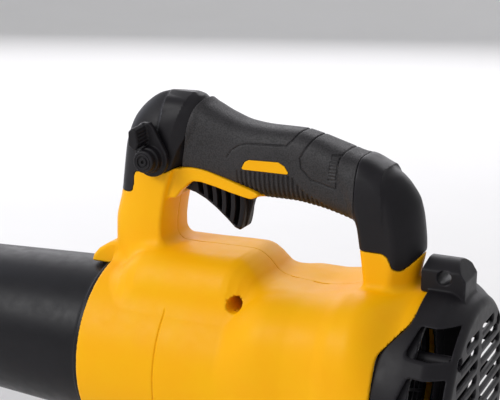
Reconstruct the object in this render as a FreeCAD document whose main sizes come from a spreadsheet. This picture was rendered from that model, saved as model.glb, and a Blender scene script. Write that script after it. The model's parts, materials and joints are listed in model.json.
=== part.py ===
import FreeCAD, Part
import Sketcher
import math
import os
import re

# Hand-held cordless axial leaf blower, in millimetres.
# Working frame: the fan axis is the X axis and x = 0 is the front rim of the housing. X points to the
# rear (air intake), -X to the nozzle, -Y to the left side of the user's view and Z up. Each sub-part is
# then placed so that the row frame has its origin under the middle of the blower, on the ground.

doc = FreeCAD.newDocument("leaf_blower")
Vector = FreeCAD.Vector

# ---------------------------------------------------------------- driving dimensions

SIZES = {
    # overall
    "axis_height": 124, "nozzle_reach": 618, "cage_rear": 264,
    # barrel of the housing
    "rim_radius": 67.5, "rear_radius": 77, "flare_start": 162, "flare_mid": 184, "flare_mid_radius": 73,
    "housing_rear": 232, "side_rear": 216.5, "wall": 2.6,
    # top deck under the handle
    "deck_half_width": 48.5, "deck_low": 66.5, "deck_high": 83.5, "deck_edge": 9,
    # handle skin
    "overmold": 3, "handle_wall": 2.8, "badge_depth": 1.2,
    # bottom: battery pedestal and front foot
    "pedestal_front": 112, "pedestal_rear": 246, "pedestal_half_width": 42, "pedestal_low": 77,
    "foot_front": 10, "foot_rear": 50, "foot_half_width": 32, "foot_low": 120,
    # duct, pod and tail cone
    "duct_outer": 58, "duct_inner": 55.6, "duct_front": 31, "duct_rear": 205, "lip_radius": 61,
    "pod_outer": 27, "pod_inner": 24.2, "pod_front": 92, "pod_rear": 159, "cone_tip": 42,
    "vane_count": 7, "vane_thickness": 2.2, "vane_front": 100, "vane_rear": 150,
    # motor
    "motor_radius": 22, "motor_front": 98, "motor_rear": 153.8, "motor_wall": 1.5,
    "motor_screw_ring": 14.5,
    "stator_outer": 20.4, "stator_back": 17.5, "stator_bore": 13.2, "stator_front": 112, "stator_rear": 142,
    "tooth_count": 6, "tooth_width": 6, "coil_width": 2.1,
    "magnet_radius": 12.7, "shaft_radius": 2.5, "shaft_front": 96, "shaft_rear": 184,
    "bearing_outer": 8, "running_gap": 0.03,
    # impeller
    "hub_radius": 26, "hub_front": 162, "hub_rear": 188, "blade_reach": 53, "blade_count": 9,
    "blade_chord": 20, "blade_skew": 14, "blade_thickness": 2.2, "spinner_tip": 206,
    "nut_flats": 8, "nut_height": 4,
    # intake cage and screen
    "cage_front_radius": 77.6, "cage_radius": 79.5, "cage_shoulder": 246, "cage_back_radius": 68,
    "cage_wall": 3, "screen_front": 208, "screen_rear": 210.4, "screen_radius": 67,
    "lug_half_width": 13.5, "lug_eye_x": 242, "lug_eye_z": 87,
    # blow tube and nozzle
    "tube_root": 58.9, "tube_tip": 44, "tube_reach": 330, "tube_wall": 2.4, "socket_radius": 59.8,
    "socket_depth": 26, "collar_radius": 64, "collar_front": 6, "face_gap": 0.5,
    "nozzle_overlap": 34, "nozzle_tip": 37, "nozzle_wall": 2.2, "nozzle_fit": 0.25, "outlet_length": 32,
    # trigger
    "trigger_pivot_x": 58, "trigger_pivot_z": 128, "trigger_half_width": 9, "pin_radius": 2,
    "band_half_width": 16.6,
    # speed lock lever
    "lever_x": 40, "lever_z": 145, "lever_plate": 12.5, "lever_hub": 7.6, "spindle_radius": 4,
    "lever_base_y": 22.6, "lever_thickness": 4, "lever_face_y": 37,
    # battery dock and pack
    "dock_plate_top": 62, "dock_plate_low": 65, "dock_wall_outer": 29, "dock_wall_inner": 24.5,
    "dock_lip_inner": 21.5, "dock_lip_top": 73.3, "dock_front": 114, "dock_rear": 244,
    "pack_top": 78, "pack_split": 96, "pack_front": 120, "pack_rear": 248, "pack_half_width": 38.5,
    "pack_wall": 2, "tongue_top": 66.2, "tongue_half_width": 24.1, "neck_half_width": 21.1,
    "tongue_front": 131, "tongue_rear": 236,
    "cell_radius": 9.2, "cell_length": 65, "cell_pitch": 21.6,
    # fasteners
    "screw_radius": 2, "screw_head": 3.8, "boss_radius": 4.6, "pack_screw": 1.3,
}


def make_sheet():
    """Spreadsheet with one aliased number for each driving dimension."""
    table = doc.addObject("Spreadsheet::Sheet", "sizes")
    for row, (alias, number) in enumerate(SIZES.items(), start=1):
        table.set("A%d" % row, alias)
        table.set("B%d" % row, str(number))
        table.setAlias("B%d" % row, alias)
    doc.recompute()
    return table


sheet = make_sheet()


def bound(expression):
    """The expression with each sheet alias written as sizes.alias."""
    def with_sheet(match):
        word = match.group()
        return "sizes." + word if word in SIZES else word
    return re.sub(r"[a-z_][a-z_0-9]*", with_sheet, str(expression))


def mm(expression):
    """The number that an expression of sheet aliases has now."""
    return float(sheet.evalExpression(str(expression)))


ORIGIN_X = "(nozzle_reach - cage_rear) / 2"
ORIGIN_Z = "axis_height"
parts = []


def place(item):
    """Move a finished sub-part from the working frame to the row frame."""
    item.setExpression("Placement.Base.x", bound(ORIGIN_X))
    item.setExpression("Placement.Base.z", bound(ORIGIN_Z))
    parts.append(item)
    return item


def shaped(label, shape):
    """Sub-part whose solid comes from Part functions."""
    item = doc.addObject("Part::Feature", label)
    item.Label = label
    item.Shape = shape
    item.Placement.Base = Vector(mm(ORIGIN_X), 0, mm(ORIGIN_Z))
    parts.append(item)
    return item


# ---------------------------------------------------------------- sketch and feature helpers

def new_body(label):
    body = doc.addObject("PartDesign::Body", label)
    body.Label = label
    return body


def sketch_on(body, role, offset=0):
    """Empty sketch on one of the body's origin planes, moved along the plane's normal."""
    plane = [feature for feature in body.Origin.OriginFeatures if feature.Role == role][0]
    sketch = body.newObject("Sketcher::SketchObject", body.Label + "_sketch")
    sketch.AttachmentSupport = [(plane, "")]
    sketch.MapMode = "FlatFace"
    sketch.setExpression("AttachmentOffset.Base.z", bound(offset))
    return sketch


def fix(sketch, kind, edge, vertex, expression):
    """Distance of a point from the sketch origin, bound to the sheet."""
    constraint = Sketcher.Constraint(kind, -1, 1, edge, vertex, mm(expression))
    index = sketch.addConstraint(constraint)
    sketch.setExpression("Constraints[%d]" % index, bound(expression))


def polygon(sketch, points):
    """Closed outline through points given as pairs of expressions."""
    corners = [Vector(mm(u), mm(v), 0) for u, v in points]
    first = sketch.GeometryCount
    total = len(points)
    for start, end in zip(corners, corners[1:] + corners[:1]):
        sketch.addGeometry(Part.LineSegment(start, end), False)
    for i in range(total):
        following = first + (i + 1) % total
        sketch.addConstraint(Sketcher.Constraint("Coincident", first + i, 2, following, 1))
    for i, (u, v) in enumerate(points):
        fix(sketch, "DistanceX", first + i, 1, u)
        fix(sketch, "DistanceY", first + i, 1, v)


def circle(sketch, u, v, radius):
    edge = sketch.addGeometry(Part.Circle(Vector(mm(u), mm(v), 0), Vector(0, 0, 1), mm(radius)), False)
    fix(sketch, "DistanceX", edge, 3, u)
    fix(sketch, "DistanceY", edge, 3, v)
    index = sketch.addConstraint(Sketcher.Constraint("Radius", edge, mm(radius)))
    sketch.setExpression("Constraints[%d]" % index, bound(radius))


def rectangle(sketch, low_u, high_u, low_v, high_v):
    polygon(sketch, [(low_u, low_v), (high_u, low_v), (high_u, high_v), (low_u, high_v)])


def add_pad(body, sketch, length, symmetric=False):
    pad = body.newObject("PartDesign::Pad", body.Label + "_pad")
    pad.Profile = sketch
    pad.setExpression("Length", bound(length))
    if symmetric:
        pad.SideType = "Symmetric"
    doc.recompute()
    return pad


def add_pocket(body, sketch, length, symmetric=False, reverse=False):
    """Pocket that must take material away."""
    before = body.Shape.Volume
    pocket = body.newObject("PartDesign::Pocket", body.Label + "_pocket")
    pocket.Profile = sketch
    pocket.setExpression("Length", bound(length))
    pocket.Reversed = reverse
    if symmetric:
        pocket.SideType = "Symmetric"
    doc.recompute()
    if body.Shape.Volume >= before - 1e-3:
        raise RuntimeError(pocket.Label + " cuts nothing")
    return pocket


def add_turn(body, sketch, axis="H_Axis"):
    turn = body.newObject("PartDesign::Revolution", body.Label + "_turn")
    turn.Profile = sketch
    turn.ReferenceAxis = (sketch, [axis])
    turn.Angle = 360
    doc.recompute()
    return turn


def add_polar(body, feature, count, role="X_Axis"):
    """Repeat one feature around an origin axis of its body."""
    axis = [item for item in body.Origin.OriginFeatures if item.Role == role][0]
    pattern = body.newObject("PartDesign::PolarPattern", body.Label + "_polar")
    pattern.Originals = [feature]
    pattern.Axis = (axis, [""])
    pattern.Angle = 360
    pattern.setExpression("Occurrences", bound(count))
    body.Tip = pattern
    doc.recompute()
    return pattern


def turned(label, outline):
    """Body turned around the fan axis from an outline of (x, radius) points."""
    body = new_body(label)
    sketch = sketch_on(body, "XZ_Plane")
    polygon(sketch, outline)
    add_turn(body, sketch)
    return place(body)


def ring_outline(front, rear, inner, outer):
    return [(front, inner), (rear, inner), (rear, outer), (front, outer)]


# ---------------------------------------------------------------- solids from Part functions

def box(x0, x1, y0, y1, z0, z1):
    return Part.makeBox(x1 - x0, y1 - y0, z1 - z0, Vector(x0, y0, z0))


def rod(start, direction, radius, length):
    return Part.makeCylinder(radius, length, Vector(*start), Vector(*direction))


def side_prism(points, y0, y1):
    """Prism of a side-view outline of (x, z) points between two widths."""
    corners = [Vector(x, y0, z) for x, z in points]
    face = Part.Face(Part.makePolygon(corners + corners[:1]))
    return face.extrude(Vector(0, y1 - y0, 0))


def turned_solid(points):
    """Solid turned around the fan axis from (x, radius) points."""
    corners = [Vector(x, 0, r) for x, r in points]
    face = Part.Face(Part.makePolygon(corners + corners[:1]))
    return face.revolve(Vector(0, 0, 0), Vector(1, 0, 0), 360)


def one_solid(shape):
    """Largest solid of a boolean result; the crumbs that a cut leaves behind are dropped."""
    return max(shape.Solids, key=lambda solid: solid.Volume)


# ---------------------------------------------------------------- handle loop

FRONT_POST = [  # height, front, rear, half width
    (62, -3, 47, 20), (94, -2, 45, 20), (115, 3, 48, 20), (135, 6, 54, 20.7), (150, 8.4, 60, 21),
    (160, 11.4, 66, 20), (168, 15, 71, 18.4), (175, 20.2, 73, 16), (182, 28, 72, 12.5),
    (186, 35, 70, 9.5), (188.5, 43, 66, 7.5)]
REAR_POST = [
    (62, 192, 222, 24), (82, 189.5, 222.5, 24), (100, 187, 225, 24), (117, 184, 223.3, 24),
    (130, 180, 220.2, 23), (138, 177, 215.5, 21.5), (145, 173, 209.5, 19), (151, 168, 201, 15)]
GRIP = [  # x, underside, top, half width
    (52, 134, 187.5, 19.5), (70, 131.5, 183.5, 19.3), (86, 130, 176.5, 18.6), (101, 127, 171.7, 18),
    (116, 123, 170.4, 17.6), (136, 123, 169.7, 17.6), (156, 121, 166.3, 19), (172, 117.8, 161.5, 21.2),
    (186, 113.5, 158.5, 22.8), (197, 109, 153, 23)]
GRIP_POWER = 3.2


def post_section(height, front, rear, half_width, nose, heel, inset):
    """D-shaped section of a post: flat sides, a bowed front (nose) and a bowed back (heel)."""
    front += inset
    rear -= inset
    side = half_width - inset
    nose = min(nose, 0.35 * (rear - front))
    heel = min(heel, 0.35 * (rear - front))
    left_front = Vector(front + nose, -side, height)
    left_rear = Vector(rear - heel, -side, height)
    right_rear = Vector(rear - heel, side, height)
    right_front = Vector(front + nose, side, height)
    edges = [
        Part.LineSegment(left_front, left_rear),
        Part.Arc(left_rear, Vector(rear, 0, height), right_rear),
        Part.LineSegment(right_rear, right_front),
        Part.Arc(right_front, Vector(front, 0, height), left_front)]
    return Part.Wire([edge.toShape() for edge in edges])


def grip_section(x, low, high, half_width, inset):
    """Closed superellipse across the grip."""
    centre = (low + high) / 2
    tall = (high - low) / 2 - inset
    wide = half_width - inset
    points = []
    for i in range(24):
        turn = 2 * math.pi * i / 24
        c, s = math.cos(turn), math.sin(turn)
        y = wide * math.copysign(abs(c) ** (2 / GRIP_POWER), c)
        z = tall * math.copysign(abs(s) ** (2 / GRIP_POWER), s)
        points.append(Vector(x, y, centre + z))
    curve = Part.BSplineCurve()
    curve.interpolate(points, PeriodicFlag=True)
    return Part.Wire(curve.toShape())


def handle_solid(inset):
    """Whole handle loop, drawn in by inset all round."""
    front = [post_section(*row, 16, 3, inset) for row in trimmed(FRONT_POST, inset)]
    rear = [post_section(*row, 2, 13, inset) for row in trimmed(REAR_POST, inset)]
    grip = [grip_section(*row, inset) for row in GRIP]
    pieces = [Part.makeLoft(sections, True, True) for sections in (front, grip, rear)]
    return pieces[0].fuse(pieces[1:])


def trimmed(rows, inset):
    """Post rows with the topmost one lowered by the inset."""
    height, front, rear, half_width = rows[-1]
    return rows[:-1] + [(height - inset * 0.8, front, rear, half_width)] if inset else rows


COLLAR_LINE = [(60.5, 150), (62.3, 158), (64, 169), (67, 179), (70, 184.5), (75, 192)]
YELLOW_LINE = [(52, 137.5), (58, 139), (66, 139.8), (73, 139.3), (88, 135.6), (103, 131), (116, 127)]
BOOT_FRONT = 184    # where the grip's rubber meets the boot
BOOT_LINE = [
    (BOOT_FRONT, 100.5), (203, 100.5), (207.5, 98.5), (209.5, 95), (211, 91.4), (214.5, 89.4), (226, 99.5)]
TRIGGER_BAND = [     # side view of the housing's skirt over the trigger's root
    (49, 116), (54.5, 119.5), (57, 122.6), (59.8, 125), (62.6, 128), (66.5, 130.2), (72, 130.3),
    (83, 128.2), (94, 125.5), (105.5, 123.2), (109.5, 122.8), (113.5, 124.2), (116, 127), (103, 131),
    (88, 135.6), (73, 139.3), (66, 139.8), (58, 139), (49, 137)]
REACH = 70          # half width of every side-view region, wider than the handle
ABOVE = 200         # height above everything


def hood_region():
    lip = [(-12, 115.3), (14, 117), (20.5, 122), (21.5, 132.5), (35, 133.8), (46.6, 135)]
    outline = lip + YELLOW_LINE[:2] + COLLAR_LINE + [(75, ABOVE), (-12, ABOVE)]
    return side_prism(outline, -REACH, REACH)


def grip_region():
    outline = YELLOW_LINE[1:] + [(117.5, 118), (117.5, 105), (BOOT_FRONT, 105), (BOOT_FRONT, ABOVE),
                                 (75, ABOVE)]
    return side_prism(outline + COLLAR_LINE[::-1], -REACH, REACH)


def boot_region():
    outline = BOOT_LINE + [(240, 104), (240, ABOVE), (BOOT_FRONT, ABOVE)]
    return side_prism(outline, -REACH, REACH)


def badge_region(side):
    """Trapezoid of the coloured inlay low on the grip's side."""
    outline = [(103.5, 142.5), (105.8, 148), (108.5, 149.6), (130, 150.2), (134.5, 147.6), (137.5, 142.5)]
    return side_prism(outline, 0, side * REACH)


# ---------------------------------------------------------------- housing shell

def barrel_points(inset):
    """Half outline of the barrel, drawn in by inset."""
    radius = mm("rim_radius") - inset
    mid = mm("flare_mid_radius") - inset
    rear = mm("rear_radius") - inset
    return [(mm("flare_start") - 8, radius), (mm("flare_start") + 4, radius + 1.2),
            (mm("flare_mid") - 8, mid - 2.4), (mm("flare_mid") + 4, mid + 1),
            (mm("housing_rear") - 16, rear), (mm("housing_rear") + 1, rear)]


def barrel(inset, front):
    points = [(front, 0), (front, mm("rim_radius") - inset)] + barrel_points(inset)
    return turned_solid(points + [(points[-1][0], 0)])


def deck(inset):
    """Raised deck under the handle with a hump in front and a saddle behind it."""
    low, high = mm("deck_low") - inset, mm("deck_high") - inset
    half = mm("deck_half_width") - inset
    top = Part.BSplineCurve()
    top.interpolate([Vector(x, -half, z) for x, z in [
        (10 + inset, 62), (20 + inset, 74 - inset), (34, high - 2), (60, high - 0.6),
        (104 - inset, high + 0.6),
        (113 - inset, high - 3), (123 - inset, high - 12.5), (132 - inset, low + 0.4), (146, low),
        (166, low + 1.4), (190, low + 2.4), (206, low + 3)]])
    start, end = top.StartPoint, top.EndPoint
    bottom = 40
    corner_rear = Vector(end.x, -half, bottom)
    corner_front = Vector(start.x, -half, bottom)
    wire = Part.Wire([top.toShape(), Part.LineSegment(end, corner_rear).toShape(),
                      Part.LineSegment(corner_rear, corner_front).toShape(),
                      Part.LineSegment(corner_front, start).toShape()])
    solid = Part.Face(wire).extrude(Vector(0, 2 * half, 0))
    crest = [edge for edge in solid.Edges if edge.Curve.TypeId == "Part::GeomBSplineCurve"]
    return solid.makeFillet(mm("deck_edge"), crest).common(deck_plan(inset))


def deck_plan(inset):
    """Everything inside the deck's outline from above, which narrows where the barrel flares."""
    half = mm("deck_half_width") - inset
    left = [(-10, -half), (152, -half), (168, 4 - half), (184, 12 - half), (206, 23 - half)]
    outline = left + [(x, -y) for x, y in reversed(left)]
    corners = [Vector(x, y, 0) for x, y in outline + outline[:1]]
    return Part.Face(Part.makePolygon(corners)).extrude(Vector(0, 0, 120))


def foot(inset):
    """Front foot: a tapered box under the barrel."""
    x0, x1 = mm("foot_front") + inset, mm("foot_rear") - inset
    half, low = mm("foot_half_width") - inset, -mm("foot_low") + inset
    side = side_prism([(x0 - 4, -50), (x1 + 8, -50), (x1, low), (x0, low)], -half, half)
    return side


def pedestal(inset):
    """Block under the rear of the barrel that holds the battery dock."""
    x0, x1 = mm("pedestal_front") + inset, mm("pedestal_rear") - inset
    half, low = mm("pedestal_half_width") - inset, -mm("pedestal_low") + inset
    return side_prism([(x0 - 20, -50), (x1, -50), (x1, low), (x0, low)], -half, half)


def key_guide():
    """Hood over the tube's keyway at the top of the front rim."""
    outline = [(-19, 60.4), (-19.5, 62.5), (-15, 69), (-6, 76), (6, 79.5), (6, 60.4)]
    return side_prism(outline, -11, 11)


def intake_split(gap):
    """Everything behind the stepped line where the housing ends and the intake cage starts."""
    top, side = mm("housing_rear") + gap, mm("side_rear") + gap
    bottom = -70 + gap
    outline = [(top, 110), (top, 66), (top - 3.5, 62.2), (side + 1.5, 51.5), (side, 48), (side, bottom),
               (300, bottom), (300, 110)]
    return side_prism(outline, -110, 110)


SCREW_POINTS = [(117.5, 63.5), (29, -96), (103.5, -64.5), (60, -63)]


def make_housing():
    """Both clamshell halves: barrel, deck, posts, handle core, foot and battery pedestal."""
    skin = handle_solid(0)
    core = handle_solid(mm("overmold"))
    hollow = handle_solid(mm("overmold + handle_wall"))
    yellow = skin.cut([hood_region(), grip_region(), boot_region()])
    band = trigger_band().cut(skin.cut(core).common(grip_region().fuse(hood_region())))
    outer = barrel(0, 0).fuse([deck(0), foot(0), pedestal(0), key_guide(), core, yellow, band])
    wall = mm("wall")
    inner = barrel(wall, 8).fuse([deck(wall), foot(wall), pedestal(wall), hollow])
    shell = outer.cut(inner)
    mouth = mm("socket_radius + 0.3")
    shell = shell.cut(turned_solid([(-30, 0), (-30, mouth), (9, mouth), (9, 0)]))
    shell = shell.cut(intake_split(0))
    shell = shell.fuse(duct_ribs() + cage_bosses())
    bosses = [rod((x, -half_width_at(z), z), (0, 1, 0), mm("boss_radius"), 2 * half_width_at(z))
              for x, z in SCREW_POINTS]
    shell = shell.fuse([boss.common(outer) for boss in bosses])
    for x, z in SCREW_POINTS:
        shell = shell.cut(screw_hole(x, z))
    shell = shell.cut([trigger_slot(), pin_bore(), lever_bore(), dock_slot(), latch_slot()])
    left_side = box(-100, 300, -110, 0, -200, 250)
    shaped("housing_left", one_solid(shell.common(left_side)))
    shaped("housing_right", one_solid(shell.cut(left_side)))
    return skin, core


def half_width_at(z):
    """Half width of the shell where a screw boss stands."""
    return mm("deck_half_width") if z > 0 else 41


def duct_ribs():
    """Inner rings: one behind the tube's socket and two round the fan duct."""
    ribs = []
    front = mm("rim_radius - wall + 0.2")
    rear = mm("flare_mid_radius - wall + 1.2")
    for x, inner, outer in ((23.5, mm("socket_radius + 0.3"), front), (40, mm("duct_outer"), front),
                            (190, mm("duct_outer"), rear)):
        ribs.append(turned_solid([(x, inner), (x + 2.6, inner), (x + 2.6, outer), (x, outer)]))
    return ribs


def cage_screw_points():
    return [(44.5, 44.5), (-44.5, 44.5), (44.5, -44.5), (-44.5, -44.5)]


def cage_bosses():
    """Four bosses on webs inside the housing's rear edge, for the cage's screws."""
    front, length = mm("screen_rear") + 0.6, mm("housing_rear - 4.2 - screen_rear - 0.6")
    bosses = []
    for y, z in cage_screw_points():
        web = box(front, front + length, -1.2, 1.2, 64, 74)
        web.rotate(Vector(0, 0, 0), Vector(1, 0, 0), math.degrees(math.atan2(-y, z)))
        boss = rod((front, y, z), (1, 0, 0), mm("boss_radius"), length)
        pilot = rod((front - 1, y, z), (1, 0, 0), mm("screw_radius"), length + 2)
        bosses.append(boss.fuse(web.common(barrel(0.5, 8))).cut(pilot))
    return bosses


def screw_hole(x, z):
    """Recess for the head and pilot hole, driven from the left."""
    depth = half_width_at(z) - 14
    recess = rod((x, -70, z), (0, 1, 0), mm("screw_head + 0.7"), 70 - 14)
    pilot = rod((x, -15, z), (0, 1, 0), mm("screw_radius"), 15 + 12)
    return recess.fuse(pilot)


def trigger_slot():
    half = mm("trigger_half_width + 0.8")
    outline = [(50.5, 118), (50.5, 131), (56, 141.5), (114.5, 141.5), (114.5, 112), (60, 112)]
    return side_prism(outline, -half, half)


def trigger_band():
    """Skirt of the housing on both sides of the trigger's root."""
    return side_prism(TRIGGER_BAND, -mm("band_half_width"), mm("band_half_width"))


def pin_bore():
    """Blind bore for the trigger's pin, with a pocket for the spring beside the trigger."""
    x, z = mm("trigger_pivot_x"), mm("trigger_pivot_z")
    bore = rod((x, -12.7, z), (0, 1, 0), mm("pin_radius + 0.04"), 25.4)
    return bore.fuse(rod((x, -12.7, z), (0, 1, 0), mm("pin_radius + 2.1"), 4))


def lever_bore():
    return rod((mm("lever_x"), -40, mm("lever_z")), (0, 1, 0), mm("spindle_radius + 0.08"), 40)


def dock_slot():
    """Opening of the pedestal, below and behind, for the dock and the pack's tongue."""
    half = mm("dock_wall_outer + 0.2")
    return box(mm("dock_front"), 300, -half, half, -90, -mm("dock_plate_top"))


def latch_slot():
    """Slot in the foot's front face for the tube latch."""
    return box(0, 14, -7.6, 7.6, -91, -73.6)


# ---------------------------------------------------------------- overmold and trim

def make_overmold(skin, core):
    """Black hood, grip and boot that wrap the handle core, and the coloured inlays."""
    shallow = handle_solid(mm("badge_depth"))
    shell = skin.cut(core)
    hub = lever_bore()
    shaped("handle_hood", one_solid(shell.common(hood_region()).cut(hub)))
    grip = shell.common(grip_region())
    plate = skin.cut(shallow)
    badges = {}
    for name, side in (("left", -1), ("right", 1)):
        badges[name] = one_solid(plate.common(badge_region(side)))
    grip = grip.cut([badges["left"], badges["right"], trigger_slot()])
    shaped("grip_overmold", one_solid(grip))
    for name, badge in badges.items():
        shaped("grip_badge_" + name, badge)
    shaped("rear_boot", one_solid(shell.common(boot_region())))


# ---------------------------------------------------------------- trigger and speed lock

def make_trigger():
    """Finned trigger that turns about a pin at its front end."""
    outline = [(54.5, 122.3), (63.9, 120), (71.6, 116.4), (79.2, 111.3), (86.7, 105.2), (93.5, 99.1),
               (97.3, 97.6), (100, 100), (102.8, 109.7), (104.8, 117), (106, 121.5), (103, 126.5),
               (90, 129.5), (64, 131.5), (57, 131.5), (54.3, 127.5)]
    half = mm("trigger_half_width")
    solid = side_prism(outline, -half, half)
    inside_lip = [(62, 123.5), (72, 119), (79.5, 114), (87, 108), (94, 101.8), (97.5, 100.5), (99.4, 103.5),
                  (101.6, 113), (103, 121), (102, 128.5), (62, 128.5)]
    window = side_prism(inside_lip, -half - 1, half + 1)
    slots = []
    for i in range(6):
        x = 66.6 + 6.8 * i
        for side in (-1, 1):
            y0, y1 = sorted((side * (half - 3.5), side * (half + 1)))
            slots.append(box(x, x + 3.6, y0, y1, 95, 128.5).common(window))
    solid = solid.cut(slots)
    pivot = rod((mm("trigger_pivot_x"), -20, mm("trigger_pivot_z")), (0, 1, 0), mm("pin_radius + 0.04"), 40)
    shaped("trigger", one_solid(solid.cut(pivot)))


def make_trigger_pin():
    """Steel pin across the handle core."""
    body = new_body("trigger_pin")
    sketch = sketch_on(body, "XZ_Plane")
    circle(sketch, "trigger_pivot_x", "trigger_pivot_z", "pin_radius")
    add_pad(body, sketch, 25, symmetric=True)
    place(body)


def make_trigger_spring():
    """Torsion spring beside the trigger, as the sleeve that its coils fill."""
    body = new_body("trigger_spring")
    sketch = sketch_on(body, "XZ_Plane", 10)
    circle(sketch, "trigger_pivot_x", "trigger_pivot_z", "pin_radius + 1.7")
    circle(sketch, "trigger_pivot_x", "trigger_pivot_z", "pin_radius + 0.1")
    add_pad(body, sketch, 2.2)
    place(body)


def make_trigger_switch():
    """Speed control switch above the trigger, with its plunger."""
    body = new_body("trigger_switch")
    sketch = sketch_on(body, "XZ_Plane")
    rectangle(sketch, 70, 102, 143.5, 161)
    add_pad(body, sketch, 19, symmetric=True)
    stem = sketch_on(body, "XZ_Plane")
    rectangle(stem, 93, 98, 140.2, 144)
    add_pad(body, stem, 8, symmetric=True)
    place(body)


def make_lever():
    """Thumb lever: round plate and hub with a leaning tab that stands up and forward."""
    x, z = mm("lever_x"), mm("lever_z")
    base, thick = -mm("lever_base_y"), mm("lever_thickness")
    face = -mm("lever_face_y")
    plate = rod((x, base, z), (0, -1, 0), mm("lever_plate"), thick)
    arm = side_prism([(x - 12.4, z + 1), (x - 12, z + 16), (x - 8, z + 24), (x - 1, z + 25),
                      (x + 2, z + 21.5), (x + 11.8, z + 5)], base, base - thick)
    hub = rod((x, base, z), (0, -1, 0), mm("lever_hub"), base - face)
    outline = [(x - 11, z + 9), (x - 11, z + 19.5), (x - 8.5, z + 21.5), (x - 5.5, z + 20.5),
               (x - 3.6, z + 11), (x - 5.5, z + 7)]
    lean = 3.2
    outer_end = Part.makePolygon([Vector(u, face, v) for u, v in outline + outline[:1]])
    root = Part.makePolygon([Vector(u + lean, base - 1, v + lean) for u, v in outline + outline[:1]])
    tab = Part.makeLoft([outer_end, root], True, True)
    lever = plate.fuse([arm, hub, tab])
    socket = rod((x, 0, z), (0, -1, 0), mm("spindle_radius"), -base + 8)
    recess = rod((x, face, z), (0, 1, 0), 5.6, 1.6)
    shaped("speed_lock_lever", one_solid(lever.cut([socket, recess])))


def make_lever_spindle():
    """Spindle through the hood with the cam that limits the trigger's travel."""
    x, z = mm("lever_x"), mm("lever_z")
    shaft = rod((x, -mm("lever_base_y") - 8, z), (0, 1, 0), mm("spindle_radius"), 28)
    inner, outer, reach = -7.5, -13.5, 7.4
    stop = side_prism([(x, z - 8), (x + reach, z - 5), (x + reach, z - 1), (x, z + 8)], outer, inner)
    cam = rod((x, outer, z), (0, 1, 0), reach, inner - outer).fuse(stop)
    shaped("lever_spindle", one_solid(shaft.fuse(cam)))


def make_lever_cap():
    """Ringed cap pressed into the lever's hub."""
    body = new_body("lever_cap")
    sketch = sketch_on(body, "XZ_Plane", "lever_face_y - 1.6")
    circle(sketch, "lever_x", "lever_z", 5.6)
    add_pad(body, sketch, 2)
    ring = sketch_on(body, "XZ_Plane", "lever_face_y + 0.4")
    circle(ring, "lever_x", "lever_z", 3.9)
    circle(ring, "lever_x", "lever_z", 2.6)
    add_pocket(body, ring, 0.7)
    place(body)


# ---------------------------------------------------------------- duct, motor and fan

def make_duct():
    """Fan duct with stator vanes that carry the motor pod."""
    outer = turned_solid([(mm("duct_front"), mm("duct_inner")), (mm("duct_rear - 12"), mm("duct_inner")),
                          (mm("duct_rear"), mm("lip_radius - 2.4")), (mm("duct_rear"), mm("lip_radius")),
                          (mm("duct_rear - 12"), mm("duct_outer")), (mm("duct_front"), mm("duct_outer"))])
    rear_wall = mm("motor_rear")
    pod = turned_solid([(mm("pod_front"), mm("pod_inner")), (rear_wall, mm("pod_inner")), (rear_wall, 6),
                        (mm("pod_rear"), 6), (mm("pod_rear"), mm("pod_outer")),
                        (mm("pod_front"), mm("pod_outer"))])
    vanes = []
    half = mm("vane_thickness") / 2
    for i in range(int(mm("vane_count"))):
        vane = box(mm("vane_front"), mm("vane_rear"), -half, half, mm("pod_outer - 1"), mm("duct_inner + 1"))
        vane.rotate(Vector(0, 0, 0), Vector(1, 0, 0), 360 / mm("vane_count") * i)
        vanes.append(vane)
    duct = outer.fuse([pod] + vanes)
    holes = [rod((rear_wall - 1, y, z), (1, 0, 0), mm("screw_radius"), 8) for y, z in motor_screw_points()]
    shaped("fan_duct", one_solid(duct.cut(holes + [lead_clearance()])))


def motor_screw_points():
    ring = mm("motor_screw_ring")
    turns = [math.radians(angle) for angle in (45, 135, 225, 315)]
    return [(ring * math.cos(turn), ring * math.sin(turn)) for turn in turns]


def lead_clearance():
    """Hole through the vane at the top for the motor's leads."""
    return box(94, 99, -5.8, 5.8, 20, 60)


def make_tail_cone():
    """Streamlined cap on the front of the pod."""
    profile = Part.BSplineCurve()
    profile.interpolate([Vector(x, 0, r) for x, r in [
        (mm("pod_front"), mm("pod_outer")), (76, 24.6), (60, 18.5), (48, 10.5), (mm("cone_tip"), 0)]])
    back = [Vector(mm("cone_tip"), 0, 0), Vector(mm("pod_front + 5"), 0, 0),
            Vector(mm("pod_front + 5"), 0, mm("pod_inner")), Vector(mm("pod_front"), 0, mm("pod_inner")),
            Vector(mm("pod_front"), 0, mm("pod_outer"))]
    edges = [profile.toShape()] + [Part.LineSegment(a, b).toShape() for a, b in zip(back, back[1:])]
    solid = Part.Face(Part.Wire(edges)).revolve(Vector(0, 0, 0), Vector(1, 0, 0), 360)
    hollow = turned_solid([(60, 0), (60, 13), (mm("pod_front"), 21), (mm("pod_front + 6"), 21),
                           (mm("pod_front + 6"), 0)])
    shaped("tail_cone", one_solid(solid.cut([hollow, lead_clearance()])))


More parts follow.
